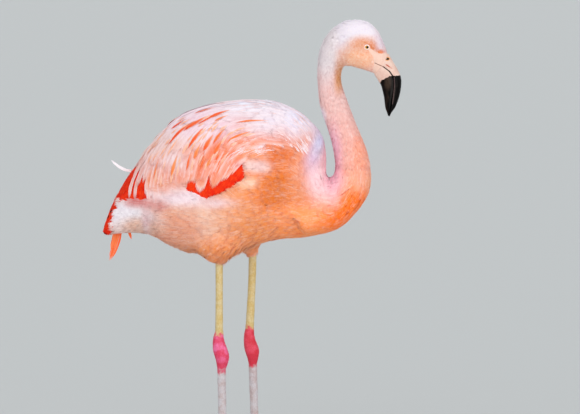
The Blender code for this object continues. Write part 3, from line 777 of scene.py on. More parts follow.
def shape_face(form):
    """Lids round the eyes, the hollow in front of them, the brow and the corner of the mouth."""
    mesh = form.data
    places = places_of(mesh)
    x, y, z = places.T
    out = np.abs(y)
    on_face = (x > FACE_BACK_X) & (z > FACE_LOW_Z)
    reach = np.hypot(x - EYE_X, z - EYE_Z)
    # hollow of the lores, brow above the eye and a soft cheek under it
    hollow = mound(near_line(((0.230, 0.8595), (0.247, 0.8470)), x, z), 0.0042) * 0.0011
    brow = mound(near_line(((0.214, 0.8735), (0.228, 0.8720), (0.238, 0.8640)), x, z), 0.0042) * 0.0010
    cheek = mound(np.hypot((x - 0.212) / 1.6, z - 0.842), 0.0080) * 0.0009
    gape = mound(near_line(((0.2345, 0.8370), (0.2400, 0.8335)), x, z), 0.0013) * 0.0008
    out = out + on_face * (brow + cheek - hollow - gape) * (out > EYE_SIDE_Y)
    # the lid: a rounded rim that hugs the eyeball, open in the middle
    opening = 0.0036 - 0.0004 * np.abs(z - EYE_Z) / np.maximum(reach, 1e-6)
    ball = EYE_Y + np.sqrt(np.maximum(EYE_RADIUS**2 - reach**2, 0.0))
    rim = ball + 0.00045 + 0.00035 * mound(reach - opening - 0.0006, 0.0006)
    lid_share = ramp(reach, LID_REACH, 0.0050) * on_face
    out = np.where(reach < LID_REACH, out + (rim - out) * lid_share, out)
    out = np.where((reach < opening) & on_face, EYE_Y - 0.0005, out)
    places[:, 1] = np.where(on_face & (np.abs(y) > EYE_SIDE_Y), np.where(y < 0.0, -1.0, 1.0) * out, y)
    set_places(mesh, places)
    lid = ramp(reach, 0.0059, 0.0050) * on_face
    bare = ramp(edge_distance(BARE_FACE, x, z), -0.0004, 0.0006) * (z > FACE_LOW_Z)
    carry(mesh, bare=np.maximum(bare, lid), lid=lid)


def ripple(place, pitch):
    """0 to 1 and back once in each pitch."""
    return 0.5 - 0.5 * np.cos(2.0 * math.pi * place / pitch)


def leg_form():
    """Both legs and feet, with the plates down their fronts."""
    parts = [merged_copy(node, SWELL * 0.7) for node in LEG_NODES]
    for shank in parts[:2]:            # the tibiae go on up into the thighs
        places = places_of(shank.data)
        places[places[:, 2] > places[:, 2].max() - 0.001, 2] += 0.022
        set_places(shank.data, places)
    form = joined("legs", parts)
    even_out(form, LEG_GRAIN, 4)
    places, normals = places_of(form.data), normals_of(form.data)
    x, y, z = places.T
    front = np.clip(normals[:, 0], 0.0, 1.0) * (ripple(z, 0.0056) ** 0.5 - 0.6) * 0.00030
    back = np.clip(-normals[:, 0], 0.0, 1.0) * (ripple(z, 0.0040) ** 0.5 - 0.6) * 0.00020
    knobs = np.sin(x * 900.0) * np.sin(y * 900.0) * np.sin(z * 760.0) * 0.00022
    ankle = ramp(z, ANKLE_FOOT_Z, ANKLE_FOOT_Z + 0.02) * ramp(z, ANKLE_TOP_Z, ANKLE_TOP_Z - 0.02)
    toes = ramp(z, 0.020, 0.010) * (normals[:, 2] > 0.3) * (z > 0.0045)
    turn = np.hypot(x - np.where(y < 0.0, -0.056, 0.0075), y - np.where(y < 0.0, -0.036, 0.036))
    push = ramp(z, 0.022, 0.040) * (front + back) + ankle * knobs + toes * ripple(turn, 0.0036) * 0.00022
    places = places + unit(normals) * push[:, None]
    places[:, 2] = np.maximum(places[:, 2], 0.0)
    set_places(form.data, places)
    return form


def make_skin():
    """One skin for all the flesh; what comes back is the body's form for the feathers to lie on."""
    form, legs = body_form(), leg_form()
    shape_face(form)
    looks = (skin_look(), leg_look())
    for obj in (form, legs):
        for look in looks:
            obj.data.materials.append(look)
    legs.data.polygons.foreach_set("material_index", np.ones(len(legs.data.polygons), np.int32))
    under = link("form_for_feathers", form.data.copy())
    finish_with(form, "BOOLEAN", operation="UNION", object=legs, solver="EXACT")
    bpy.data.objects.remove(legs)
    only(form)
    bpy.ops.object.shade_smooth()
    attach(form, BODY)
    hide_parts(*BODY_NODES, *LEG_NODES)
    return under


# ---------------------------------------------------------------- bill, eyes and claws
MOUTH = (
    (0.250, 0.829), (0.261, 0.821), (0.271, 0.811), (0.2755, 0.799), (0.2755, 0.783), (0.2725, 0.766),
    (0.2700, 0.748), (0.2660, 0.729),
)
UPPER_GROOVE = ((0.255, 0.835), (0.271, 0.8225), (0.2795, 0.806), (0.2815, 0.785), (0.278, 0.762))
LOWER_GROOVE = ((0.246, 0.823), (0.258, 0.807), (0.2655, 0.785), (0.2665, 0.764))
TIP_X = MOUTH[-1][0]


def make_bill(node, upper):
    """Half of the bill, smoothed from its node, with its nostrils, groove, mouth line and narrow tip."""
    name = node + "_horn"
    horn = merged_copy(node, 0.0004, name)
    horn.data.materials.clear()
    even_out(horn, BILL_GRAIN, 8)
    places, normals = places_of(horn.data), unit(normals_of(horn.data))
    x, _, z = places.T
    flank = ramp(np.abs(normals[:, 1]), 0.35, 0.75)
    if upper:
        nostril = mound(np.hypot((x - 0.2622) / 1.6, z - 0.8410), 0.0013, 4) * 0.0016
        groove = mound(near_line(UPPER_GROOVE, x, z), 0.0009) * 0.00035
    else:
        nostril = 0.0
        groove = mound(near_line(LOWER_GROOVE, x, z), 0.0010) * 0.00035
    push = -flank * (nostril + groove) - ramp(near_line(MOUTH, x, z), 0.0011, 0.0003) * flank * 0.0007
    places = places + normals * push[:, None]
    taper = 1.0 - 0.45 * ramp(z, 0.746, 0.729)
    places[:, 0] = TIP_X + (places[:, 0] - TIP_X) * taper
    set_places(horn.data, places)
    horn.data.materials.append(bill_look(name + "_horn", upper))
    only(horn)
    bpy.ops.object.shade_smooth()
    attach(horn, BODY)
    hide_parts(node)


def make_eye(side, look):
    """An eyeball with the low dome of its cornea."""
    sign = SIDES[side]
    bpy.ops.object.select_all(action="DESELECT")
    bpy.ops.mesh.primitive_uv_sphere_add(
        segments=48, ring_count=32, radius=EYE_RADIUS, location=(EYE_X, sign * EYE_Y, EYE_Z),
        rotation=(math.radians(90.0), 0.0, 0.0),
    )
    eye = bpy.context.object
    eye.name = "eyeball_" + side
    bpy.ops.object.transform_apply(location=True, rotation=True, scale=True)
    places = places_of(eye.data)
    reach = np.hypot(places[:, 0] - EYE_X, places[:, 2] - EYE_Z)
    dome = np.clip(1.0 - (reach / 0.0036) ** 2, 0.0, 1.0) * 0.0004 * (places[:, 1] * sign > EYE_Y)
    places[:, 1] += sign * dome
    set_places(eye.data, places)
    bpy.ops.object.shade_smooth()
    eye.data.materials.append(look)
    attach(eye, BODY)
    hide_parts("eye_" + side)


def dress_claws():
    """The claws keep their solids and get a horn finish."""
    look = claw_look()
    for toe in ("inner", "middle", "outer", "hind"):
        for side in SIDES:
            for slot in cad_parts[f"claw_{toe}_{side}"].material_slots:
                slot.material = look


# ---------------------------------------------------------------- room
def aim(pitch, turn):
    """A rotation from degrees about x and then z."""
    return (math.radians(pitch), 0.0, math.radians(turn))


def make_room():
    """A pale floor, soft light from above the bird's head side and a long-lens camera."""
    bpy.ops.object.select_all(action="DESELECT")
    bpy.ops.mesh.primitive_plane_add(size=60.0, location=(0.0, 0.0, 0.0))
    floor = bpy.context.object
    floor.name = "floor"
    look = Look("pale_floor", Roughness=0.9, Specular_IOR_Level=0.2, Base_Color=tone(190, 193, 192))
    floor.data.materials.append(look.material)

    world = bpy.data.worlds.new("studio")
    world.use_nodes = True
    sky = world.node_tree.nodes["Background"]
    sky.inputs["Color"].default_value = (0.93, 0.96, 1.0, 1.0)
    sky.inputs["Strength"].default_value = 0.70
    bpy.context.scene.world = world

    for name, strength, width, pitch, turn, colour in (
        ("key_light", 0.89, 60.0, 58.0, -25.0, (1.0, 0.985, 0.97)),
        ("fill_light", 0.83, 70.0, 84.0, 42.0, (1.0, 0.97, 0.93)),
        ("back_light", 0.8, 25.0, -50.0, -15.0, (0.98, 0.98, 1.0)),
    ):
        bpy.ops.object.light_add(type="SUN", rotation=aim(pitch, turn))
        sun = bpy.context.object
        sun.name = name
        sun.data.energy = strength
        sun.data.angle = math.radians(width)
        sun.data.color = colour

    # a lamp near the floor lights the breast and belly; its narrow spread keeps it off the floor
    bpy.ops.object.light_add(type="AREA", location=(0.55, -1.5, 0.32), rotation=aim(98.0, 16.0))
    low = bpy.context.object
    low.name = "low_light"
    low.data.size = 0.6
    low.data.energy = 1.17
    low.data.spread = math.radians(70.0)
    low.data.color = (1.0, 0.95, 0.90)

    bpy.ops.object.camera_add(location=(0.0741, -5.9487, 1.3337), rotation=aim(82.5, 0.0))
    camera = bpy.context.object
    camera.name = "camera"
    camera.data.lens = 190.98
    camera.data.sensor_width = 36.0
    camera.data.clip_end = 200.0
    bpy.context.scene.camera = camera
    bpy.context.scene.view_settings.view_transform = "Standard"


# ---------------------------------------------------------------- feathers
def guides(run):
    """A run of feathers as places and headings."""
    turns = np.radians([turn for _, _, turn in run])
    headings = np.stack([np.cos(turns), np.zeros(len(run)), np.sin(turns)], axis=1)
    return np.array([place[:2] for place in run]), headings


COAT, WING = guides(COAT_RUN), guides(WING_RUN)
PATCH = 0.003                          # how wide a tuft's place is on the unwrap
TRACT_REACH = 0.00012                  # how softly one heading of a run goes over into the next
STRAND_SIDES = ((0, 1), (1, 2), (2, 0))         # between a ring's points: left, crest and right
LEAN = (0.45, 0.0, -0.45)              # how far the soft normals at those points lean outwards
FAR = 0.4                              # further out sideways than any of the bird


class Lie:
    """The form that the feathers lie on: nearest places, soft normals and the run of the plumage."""

    def __init__(self, form):
        mesh = form.data
        self.points = places_of(mesh)
        self.corners = [tuple(polygon.vertices) for polygon in mesh.polygons]
        self.tree = BVHTree.FromPolygons(self.points.tolist(), self.corners)
        soft = normals_of(mesh)
        self.normals = unit(np.array([soft[list(corners)].mean(axis=0) for corners in self.corners]))
        self.middles = read(mesh.polygons, "center", 3)
        self.areas = read(mesh.polygons, "area")

    def settle(self, points):
        """The nearest places on the form, and the soft normals there."""
        places = np.empty_like(points)
        faces = np.empty(len(points), int)
        for index, point in enumerate(points.tolist()):
            places[index], _, faces[index], _ = self.tree.find_nearest(point)
        return places, self.normals[faces]

    def beside(self, line, sign):
        """The places of the form that lie straight behind these, looked at from one side of the bird."""
        places = np.empty((len(line), 3))
        for index, (x, z) in enumerate(line):
            place = self.tree.ray_cast((x, sign * FAR, z), (0.0, -sign, 0.0), FAR)[0]
            places[index] = self.tree.find_nearest((x, 0.0, z))[0] if place is None else place
        return places

    def run(self, places, normals, tract):
        """The way the feathers point at these places, along the skin."""
        headings = np.empty_like(places)
        for start in range(0, len(places), 20000):
            part = slice(start, start + 20000)
            gaps = places[part, None, ::2] - tract[0][None]
            weights = 1.0 / ((gaps**2).sum(axis=2) + TRACT_REACH) ** 2
            headings[part] = weights @ tract[1]
        headings = unit(headings) + np.array([-0.04, 0.0, -0.04])
        headings -= normals * (headings * normals).sum(axis=1, keepdims=True)
        return unit(headings)

    def draw(self, starts, lengths, steps, waver, tract=COAT, backwards=False, turn=0.0):
        """Lines drawn along the skin with the run of the feathers, or against it from their tips.

        waver is how far their headings stray at random, turn how far all of them are turned.
        """
        count = len(starts)
        sway = (DRAW.normal(0.0, waver, count) if waver else np.zeros(count)) + turn
        sway = sway[:, None]
        place, normal = self.settle(starts)
        places, normals = [place], [normal]
        stride = (np.broadcast_to(lengths, count) / steps)[:, None] * (-1.0 if backwards else 1.0)
        for _ in range(steps):
            heading = self.run(place, normal, tract)
            heading = heading * np.cos(sway) + np.cross(normal, heading) * np.sin(sway)
            place, normal = self.settle(place + heading * stride)
            places.append(place)
            normals.append(normal)
        if backwards:
            places.reverse()
            normals.reverse()
        return np.stack(places, axis=1), unit(np.stack(normals, axis=1))

    def scatter(self, chosen, spacing):
        """Places spread evenly over the chosen faces, one for each square of the spacing."""
        marks = np.cumsum(np.where(chosen, self.areas / spacing**2, 0.0))
        count = int(marks[-1])
        order = DRAW.permutation(count)
        faces = np.searchsorted(marks, np.arange(count) + DRAW.random(count))
        faces = np.minimum(faces, len(marks) - 1)
        starts = np.empty((count, 3))
        for index, face in enumerate(faces):
            shares = DRAW.dirichlet(np.ones(len(self.corners[face])))
            starts[index] = shares @ self.points[list(self.corners[face])]
        return starts[order]

    def unwrap(self, chosen):
        """An unwrap of the chosen part of the form, as what turns places on it into places on its map."""
        faces = [self.corners[index] for index in np.flatnonzero(chosen)]
        used = sorted({corner for face in faces for corner in face})
        renumber = {corner: index for index, corner in enumerate(used)}
        mesh = bpy.data.meshes.new("unwrap")
        faces = [[renumber[corner] for corner in face] for face in faces]
        mesh.from_pydata(self.points[used].tolist(), [], faces)
        sheet = link("unwrap", mesh)
        edit(sheet, (bpy.ops.uv.smart_project, {"angle_limit": math.radians(66.0), "island_margin": 0.004}))
        flat = read(mesh.uv_layers[0].data, "uv", 2)
        starts = read(mesh.polygons, "loop_start", kind=int)
        points = places_of(mesh)
        corners = np.array([polygon.vertices[:3] for polygon in mesh.polygons])
        tree = BVHTree.FromPolygons(points.tolist(), [tuple(polygon.vertices) for polygon in mesh.polygons])
        bpy.data.objects.remove(sheet)

        def place_on_map(roots):
            hits = np.array([tree.find_nearest(root)[2] for root in roots.tolist()])
            first, second, third = (points[corners[hits, index]] for index in range(3))
            one, two, gap = second - first, third - first, roots - first
            a, b, c = (one * one).sum(1), (one * two).sum(1), (two * two).sum(1)
            d, e = (gap * one).sum(1), (gap * two).sum(1)
            size = np.maximum(a * c - b * b, 1e-20)
            across, up = (c * d - b * e) / size, (a * e - b * d) / size
            uv = [flat[starts[hits] + index] for index in range(3)]
            spot = uv[0] + across[:, None] * (uv[1] - uv[0]) + up[:, None] * (uv[2] - uv[0])
            return np.clip(spot, PATCH, 1.0 - PATCH)

        return place_on_map


def strand_faces(rings):
    """One strand's faces: their corners and sizes, and how each corner's soft normal leans and turns."""
    corners, kinds = [], []
    last, tip = (rings - 2) * 3, (rings - 1) * 3
    for low in range(0, last, 3):
        for one, two in STRAND_SIDES:
            corners += [low + one, low + two, low + 3 + two, low + 3 + one]
            kinds += [(one, one == 2), (two, one == 2), (two, one == 2), (one, one == 2)]
    sizes = [4] * (len(corners) // 4) + [3] * 4
    corners += [0, 2, 1]
    kinds += [(0, True), (2, True), (1, True)]
    for one, two in STRAND_SIDES:
        corners += [last + one, last + two, tip]
        kinds += [(one, one == 2), (two, one == 2), (1, one == 2)]
    lean = np.array([LEAN[point] for point, _ in kinds])
    turned = np.array([-1.0 if under else 1.0 for _, under in kinds])
    return np.array(corners), sizes, lean[None, :, None], turned[None, :, None]


def feathers(name, on_map, lines, normals, strands, kind, widths, lift, look, slot,
             rough=0.0002, tip_round=0.12, root=0.0, tilt=0.0, tint=None, tint_mix=0.5, rim=0.0, stray=0.5):
    """One piece of many tufts or plumes, each a fan of thin closed strands along its own line.

    strands is how many lie side by side and their rings; kind is how a tuft's half width, a strand's
    width and the rise change along it; widths are the first two in metres, lift its height at root and tip.
    """
    lanes, rings = strands
    shape, thread, rising = kind
    tufts, steps = lines.shape[0], lines.shape[1] - 1
    half, width, low, high = (np.broadcast_to(value, tufts)[:, None, None] for value in (*widths, *lift))
    lane = np.linspace(-1.0, 1.0, lanes)[None, :] + DRAW.uniform(-1.0, 1.0, (tufts, lanes)) * stray / lanes
    ends = 1.0 - tip_round * np.abs(lane) ** 2 - DRAW.random((tufts, lanes)) * tip_round * stray * 1.6
    begins = DRAW.random((tufts, lanes)) * root
    marks = np.linspace(0.0, 1.0, rings)[None, None, :]
    share = begins[..., None] + (ends - begins)[..., None] * marks
    cell = np.minimum((share * steps).astype(int), steps - 1)
    part = (share * steps - cell)[..., None]
    row = np.arange(tufts)[:, None, None]
    middle = lines[row, cell] * (1.0 - part) + lines[row, cell + 1] * part
    up = unit(normals[row, cell] * (1.0 - part) + normals[row, cell + 1] * part)
    across = unit(np.cross(up, unit(lines[row, cell + 1] - lines[row, cell])))
    half = half * blend_of(share, shape)
    rise = low + (high - low) * blend_of(share, rising)
    rise = rise + DRAW.uniform(-1.0, 1.0, (tufts, lanes))[..., None] * rough * np.minimum(share * 4.0, 1.0)
    rise = rise + np.broadcast_to(tilt, tufts)[:, None, None] * lane[..., None]
    spine = middle + across * (lane[..., None] * half)[..., None] + up * rise[..., None]

    # each ring is a flat triangle: left, crest and right; the last one is the strand's tip
    width = np.broadcast_to(width * blend_of(marks, thread) * 0.5, share.shape)[:, :, :-1, None]
    body, side, top = (rows[:, :, :-1] for rows in (spine, across, up))
    thick = np.minimum(width * 0.55, 0.00045)
    count, per = tufts * lanes, (rings - 1) * 3 + 1
    ringed = np.stack([body + side * width, body + top * thick, body - side * width], axis=3)
    points = np.concatenate([ringed.reshape(count, per - 1, 3), spine[:, :, -1].reshape(count, 1, 3)], axis=1)
    pattern, sizes, lean, turned = strand_faces(rings)
    corners = (pattern[None] + (np.arange(count) * per)[:, None]).ravel()
    totals = np.tile(sizes, count)
    mesh = bpy.data.meshes.new(name)
    mesh.vertices.add(count * per)
    mesh.vertices.foreach_set("co", points.ravel().astype(np.float32))
    mesh.loops.add(len(corners))
    mesh.loops.foreach_set("vertex_index", corners.astype(np.int32))
    mesh.polygons.add(len(totals))
    mesh.polygons.foreach_set("loop_start", np.concatenate([[0], np.cumsum(totals)[:-1]]).astype(np.int32))
    mesh.update(calc_edges=True)

    # soft normals, so that many strands shade as one coat
    ring_up, ring_side = (np.concatenate([rows, rows[:, :, -1:]], axis=2).reshape(count, rings, 3)
                          for rows in (top, side))
    ring_of = pattern // 3
    soft = ring_up[:, ring_of] * turned + ring_side[:, ring_of] * lean
    mesh.normals_split_custom_set(unit(soft).reshape(-1, 3).astype(np.float32))

    # what the materials read: the tuft's tint, the way along a strand, and the way out to a plume's rim
    if tint is None:
        tint = DRAW.random(tufts)
    shade = tint[:, None] * tint_mix + DRAW.random((tufts, lanes)) * (1.0 - tint_mix)
    reach = share.reshape(count, rings)
    reach = np.concatenate([np.repeat(reach[:, :-1], 3, axis=1), reach[:, -1:]], axis=1)
    rims = np.clip(np.abs(lane) * rim + (rim == 0.0) * 0.5, 0.0, 1.0)
    carry(mesh, tint=np.repeat(shade.ravel(), per), tip=reach.ravel(), edge=np.repeat(rims.ravel(), per))

    # each tuft is a small patch at its root's place on the unwrap
    bend = np.zeros((per, 2))
    bend[:-1, 0] = np.tile([-0.2, 0.0, 0.2], rings - 1)
    bend[:-1, 1] = np.repeat(np.arange(rings - 1) / (rings - 1), 3)
    bend[-1, 1] = 1.0
    local = np.empty((count, per, 2))
    local[..., 0] = np.clip(lane.reshape(-1, 1) * 0.8 + bend[None, :, 0], -1.0, 1.0)
    local[..., 1] = bend[None, :, 1] * 2.0 - 1.0
    uv = np.repeat(on_map(lines[:, 0]), lanes, axis=0)[:, None, :] + local * PATCH * 0.5
    layer = mesh.uv_layers.new(name="OFBake")
    layer.data.foreach_set("uv", uv.reshape(-1, 2)[corners].ravel().astype(np.float32))

    piece = link(name, mesh)
    mesh.materials.append(look)
    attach(piece, BODY)
    return piece


# how half width, a strand's width and the rise change from root to tip
PLUME_SHAPE = ((0.0, 0.15), (0.15, 0.55), (0.45, 0.95), (0.85, 1.0), (0.95, 0.85), (1.0, 0.60))
PLUME_THREAD = ((0.0, 0.5), (0.3, 1.0), (0.95, 1.0), (1.0, 0.7))
PLUME_RISE = ((0.0, 0.0), (0.5, 0.55), (1.0, 1.0))
TUFT_SHAPE = ((0.0, 0.15), (0.4, 0.7), (1.0, 1.0))
TUFT_THREAD = ((0.0, 0.7), (0.5, 1.0), (1.0, 0.0))
TUFT_RISE = ((0.0, 0.0), (0.35, 0.55), (1.0, 1.0))
PLUME = (PLUME_SHAPE, PLUME_THREAD, PLUME_RISE)
TUFT = (TUFT_SHAPE, TUFT_THREAD, TUFT_RISE)
WISP = (PLUME_SHAPE, TUFT_THREAD, PLUME_RISE)
STREAK = (((0.0, 0.05), (0.35, 0.5), (0.65, 1.0), (0.85, 0.75), (1.0, 0.15)),
          ((0.0, 0.1), (0.3, 0.8), (0.8, 1.0), (1.0, 0.0)), PLUME_RISE)
UNDERTAIL = (TUFT_SHAPE, ((0.0, 0.7), (0.35, 1.0), (0.7, 0.75), (1.0, 0.0)), TUFT_RISE)
FRINGE = (TUFT_SHAPE, ((0.0, 0.7), (0.4, 1.0), (0.75, 0.7), (1.0, 0.0)), TUFT_RISE)
CURLED = (((0.0, 0.8), (0.4, 1.0), (0.85, 0.7), (1.0, 0.1)), ((0.0, 1.0), (0.7, 0.9), (1.0, 0.2)), PLUME_RISE)
HANGS = (((0.0, 0.7), (0.3, 1.0), (0.75, 0.8), (1.0, 0.2)), ((0.0, 1.0), (0.8, 0.9), (1.0, 0.2)), PLUME_RISE)
# the tracts of the plumage
HEAD_LOW_Z, FACE_X = 0.800, 0.196
NECK_LOW_Z, NECK_BACK_X = 0.640, 0.118
BREAST_X, BELLY_LOW_Z = 0.100, 0.430
WING_TOP_Z = 0.790
BELLY_X = -0.018                       # the middle of the belly, between the thighs
PLUME_STATIONS = 9                     # points along each loose plume


def clear_of_slit(lines, margin):
    """Which tufts stay off the opening under the wing along their whole lines."""
    points = np.concatenate([lines, (lines[:, :-1] + lines[:, 1:]) / 2.0], axis=1)
    return (depth_in(SLIT_FIELD, points) < -margin).all(axis=1)


def spaced(places, headings, across, ahead, first):
    """Which places to keep so that none lies within an oval of another that is kept."""
    kept = np.concatenate([first, places])
    count = len(first)
    chosen = []
    for index, place in enumerate(places):
        gap = kept[:count] - place
        forward = gap @ headings[index]
        sideways2 = (gap**2).sum(axis=1) - forward**2
        if not ((forward / ahead[index]) ** 2 + sideways2 / across[index] ** 2 < 1.0).any():
            kept[count] = place
            count += 1
            chosen.append(index)
    return chosen


def spread(count, low=0.75, high=1.25):
    """A size for each tuft, drawn between two shares of the usual one."""
    return DRAW.uniform(low, high, count)


def coat_head(lie, look):
    """The smallest feathers: the face's, and longer ones on the nape and crown."""
    x, _, z = lie.middles.T
    head = z > HEAD_LOW_Z
    bare = edge_distance(BARE_FACE, x, z) >= -0.0002
    eye = np.hypot(x - EYE_X, z - EYE_Z) <= 0.0056
    feathered = head & ~bare & ~eye & (past_seam(x, z) < -0.0005)
    for name, chosen, spacing, length, width, height in (
        ("feathers_face", feathered & (x > FACE_X), 0.00138, 0.0054, 0.0010, 0.0014),
        ("feathers_nape", feathered & (x <= FACE_X), 0.0018, 0.0085, 0.0012, 0.0036),
    ):
        on_map = lie.unwrap(head)
        starts = lie.scatter(chosen, spacing)
        along_x, _, up = starts.T
        scale = spread(len(starts))
        eye_gap = np.hypot(along_x - EYE_X, up - EYE_Z)
        scale = scale * blend_of(eye_gap, ((0.005, 0.35), (0.012, 0.8), (0.02, 1.0)))
        scale = scale * blend_of(-depth_in(BARE_FACE, starts), ((0.0, 0.4), (0.008, 1.0)))
        scale = scale * blend_of(up, ((0.800, 1.35), (0.850, 1.0)))
        lines, normals = lie.draw(starts, length * scale, 2, 0.16)
        back = ramp(along_x, 0.176, 0.160) * ramp(up, 0.835, 0.860)
        crown = np.maximum(ramp(up, 0.870, 0.894), back)
        rise = height * blend_of(up, ((0.800, 0.35), (0.845, 1.0))) + 0.0020 * crown
        feathers(name, on_map, lines, normals, (3, 3), TUFT, (width * 0.9 * scale, width * np.sqrt(scale)),
                 (0.0028 * crown - 0.0003, rise * scale * spread(len(starts), 0.8, 1.05)), look, "plumage")


def coat_neck(lie, look):
    """Short dense feathers down the neck."""
    x, _, z = lie.middles.T
    neck = (z <= HEAD_LOW_Z) & (z > NECK_LOW_Z) & (x > NECK_BACK_X)
    on_map = lie.unwrap(neck)
    starts = lie.scatter(neck, 0.0033)
    scale = spread(len(starts)) * blend_of(starts[:, 2], ((0.640, 1.35), (0.72, 1.05), (0.80, 0.75)))
    lines, normals = lie.draw(starts, 0.0135 * scale, 2, 0.12)
    feathers("feathers_neck", on_map, lines, normals, (6, 3), TUFT, (0.0024 * scale, 0.0013 * np.sqrt(scale)),
             (0.0003, 0.0021 * scale * spread(len(starts), 0.8, 1.05)), look, "plumage")


def coat_body(lie, looks):
    """Breast, flanks and belly, the loose tufts under the belly and the wisps over the shoulders."""
    x, y, z = lie.middles.T
    body = ~(z > HEAD_LOW_Z) & ~((z > NECK_LOW_Z) & (x > NECK_BACK_X))
    plumage = looks["plumage"]
    covered = np.zeros(len(x), bool)
    for field, margin in (
        (PLUME_FIELD, 0.016), (TAIL_FIELD, 0.010), (SLIT_FIELD, 0.004), (REAR_FIELD, 0.006),
    ):
        covered |= edge_distance(field, x, z) > margin
    coat = body & ~covered & (z > BELLY_LOW_Z)
    for name, chosen in (
        ("feathers_breast", coat & (x > BREAST_X)),
        ("feathers_flank_right", coat & (x <= BREAST_X) & (y < 0.0)),
        ("feathers_flank_left", coat & (x <= BREAST_X) & (y >= 0.0)),
    ):
        on_map = lie.unwrap(chosen)
        starts = lie.scatter(chosen, 0.0046)
        swell = blend_of(starts[:, 0], ((-0.26, 1.0), (0.09, 1.0), (0.17, 0.78), (0.22, 0.62)))
        belly = ramp(starts[:, 2], 0.500, 0.455)
        scale = spread(len(starts)) * swell
        lines, normals = lie.draw(starts, 0.027 * scale, 3, 0.11)
        stay = (depth_in(REAR_FIELD, lines[:, -1]) < 0.001) & clear_of_slit(lines, 0.0030)
        lines, normals, scale, belly = pick(stay, lines, normals, scale, belly)
        height = 0.0038 * scale * spread(len(lines), 0.8, 1.05) * (1.0 + 0.6 * belly)
        height = height * blend_of(lines[:, 0, 0], ((0.080, 1.0), (0.125, 0.72)))
        feathers(name, on_map, lines, normals, (6, 3), TUFT, (0.0036 * scale, 0.0021 * np.sqrt(scale)),
                 (0.0012, height), plumage, "plumage")

    # loose tufts that hang between the thighs and along the belly's low line
    low = body & (z < 0.485) & (x > -0.150) & (x < 0.060)
    on_map = lie.unwrap(low)
    under_belly = low & (lie.normals[:, 2] < -0.15)
    starts = np.concatenate([lie.scatter(under_belly, 0.0064),
                             lie.scatter(under_belly & (np.abs(x - BELLY_X) < 0.034), 0.0046)])
    between = ramp(np.abs(starts[:, 0] - BELLY_X), 0.036, 0.022)
    scale = spread(len(starts), 0.8, 1.2)
    lines, normals = lie.draw(starts, 0.024 * scale, 4, 0.25)
    drop = (0.0045 + 0.006 * between) * scale * spread(len(starts), 0.4, 1.2)
    lines[:, :, 2] -= drop[:, None] * np.linspace(0.0, 1.0, 5) ** 1.2
    feathers("belly_fringe", on_map, lines, normals, (6, 4), TUFT, (0.0038 * scale, 0.0020 * np.sqrt(scale)),
             (0.0006, 0.0042 * scale), plumage, "plumage", tip_round=0.3)

    # pale wisps over the shoulder, and a lock of them in front of the wing
    shoulder = body & (x > -0.045) & (x < 0.140) & (z > 0.640)
    lock = ((-0.036, 0.650), (-0.022, 0.663), (-0.004, 0.676), (0.020, 0.680), (0.042, 0.672))
    on_map = lie.unwrap(body & (x > -0.100) & (x < 0.155) & (z > 0.610))
    starts = np.concatenate([lie.scatter(shoulder & (z > 0.672 - 0.3 * (x - 0.06)), 0.0095),
                             lie.scatter(shoulder & (near_line(lock, x, z) < 0.006), 0.0036)])
    scale = spread(len(starts), 0.7, 1.3)
    lines, normals = lie.draw(starts, 0.038 * scale, 5, 0.10, WING)
    lines, normals, scale = pick(clear_of_slit(lines, 0.001), lines, normals, scale)
    feathers("shoulder_wisps", on_map, lines, normals, (3, 5), WISP, (0.0018 * scale, 0.0011 * scale),
             (0.0024, 0.0044), looks["wisps"], "plumage", tip_round=0.35, root=0.2)


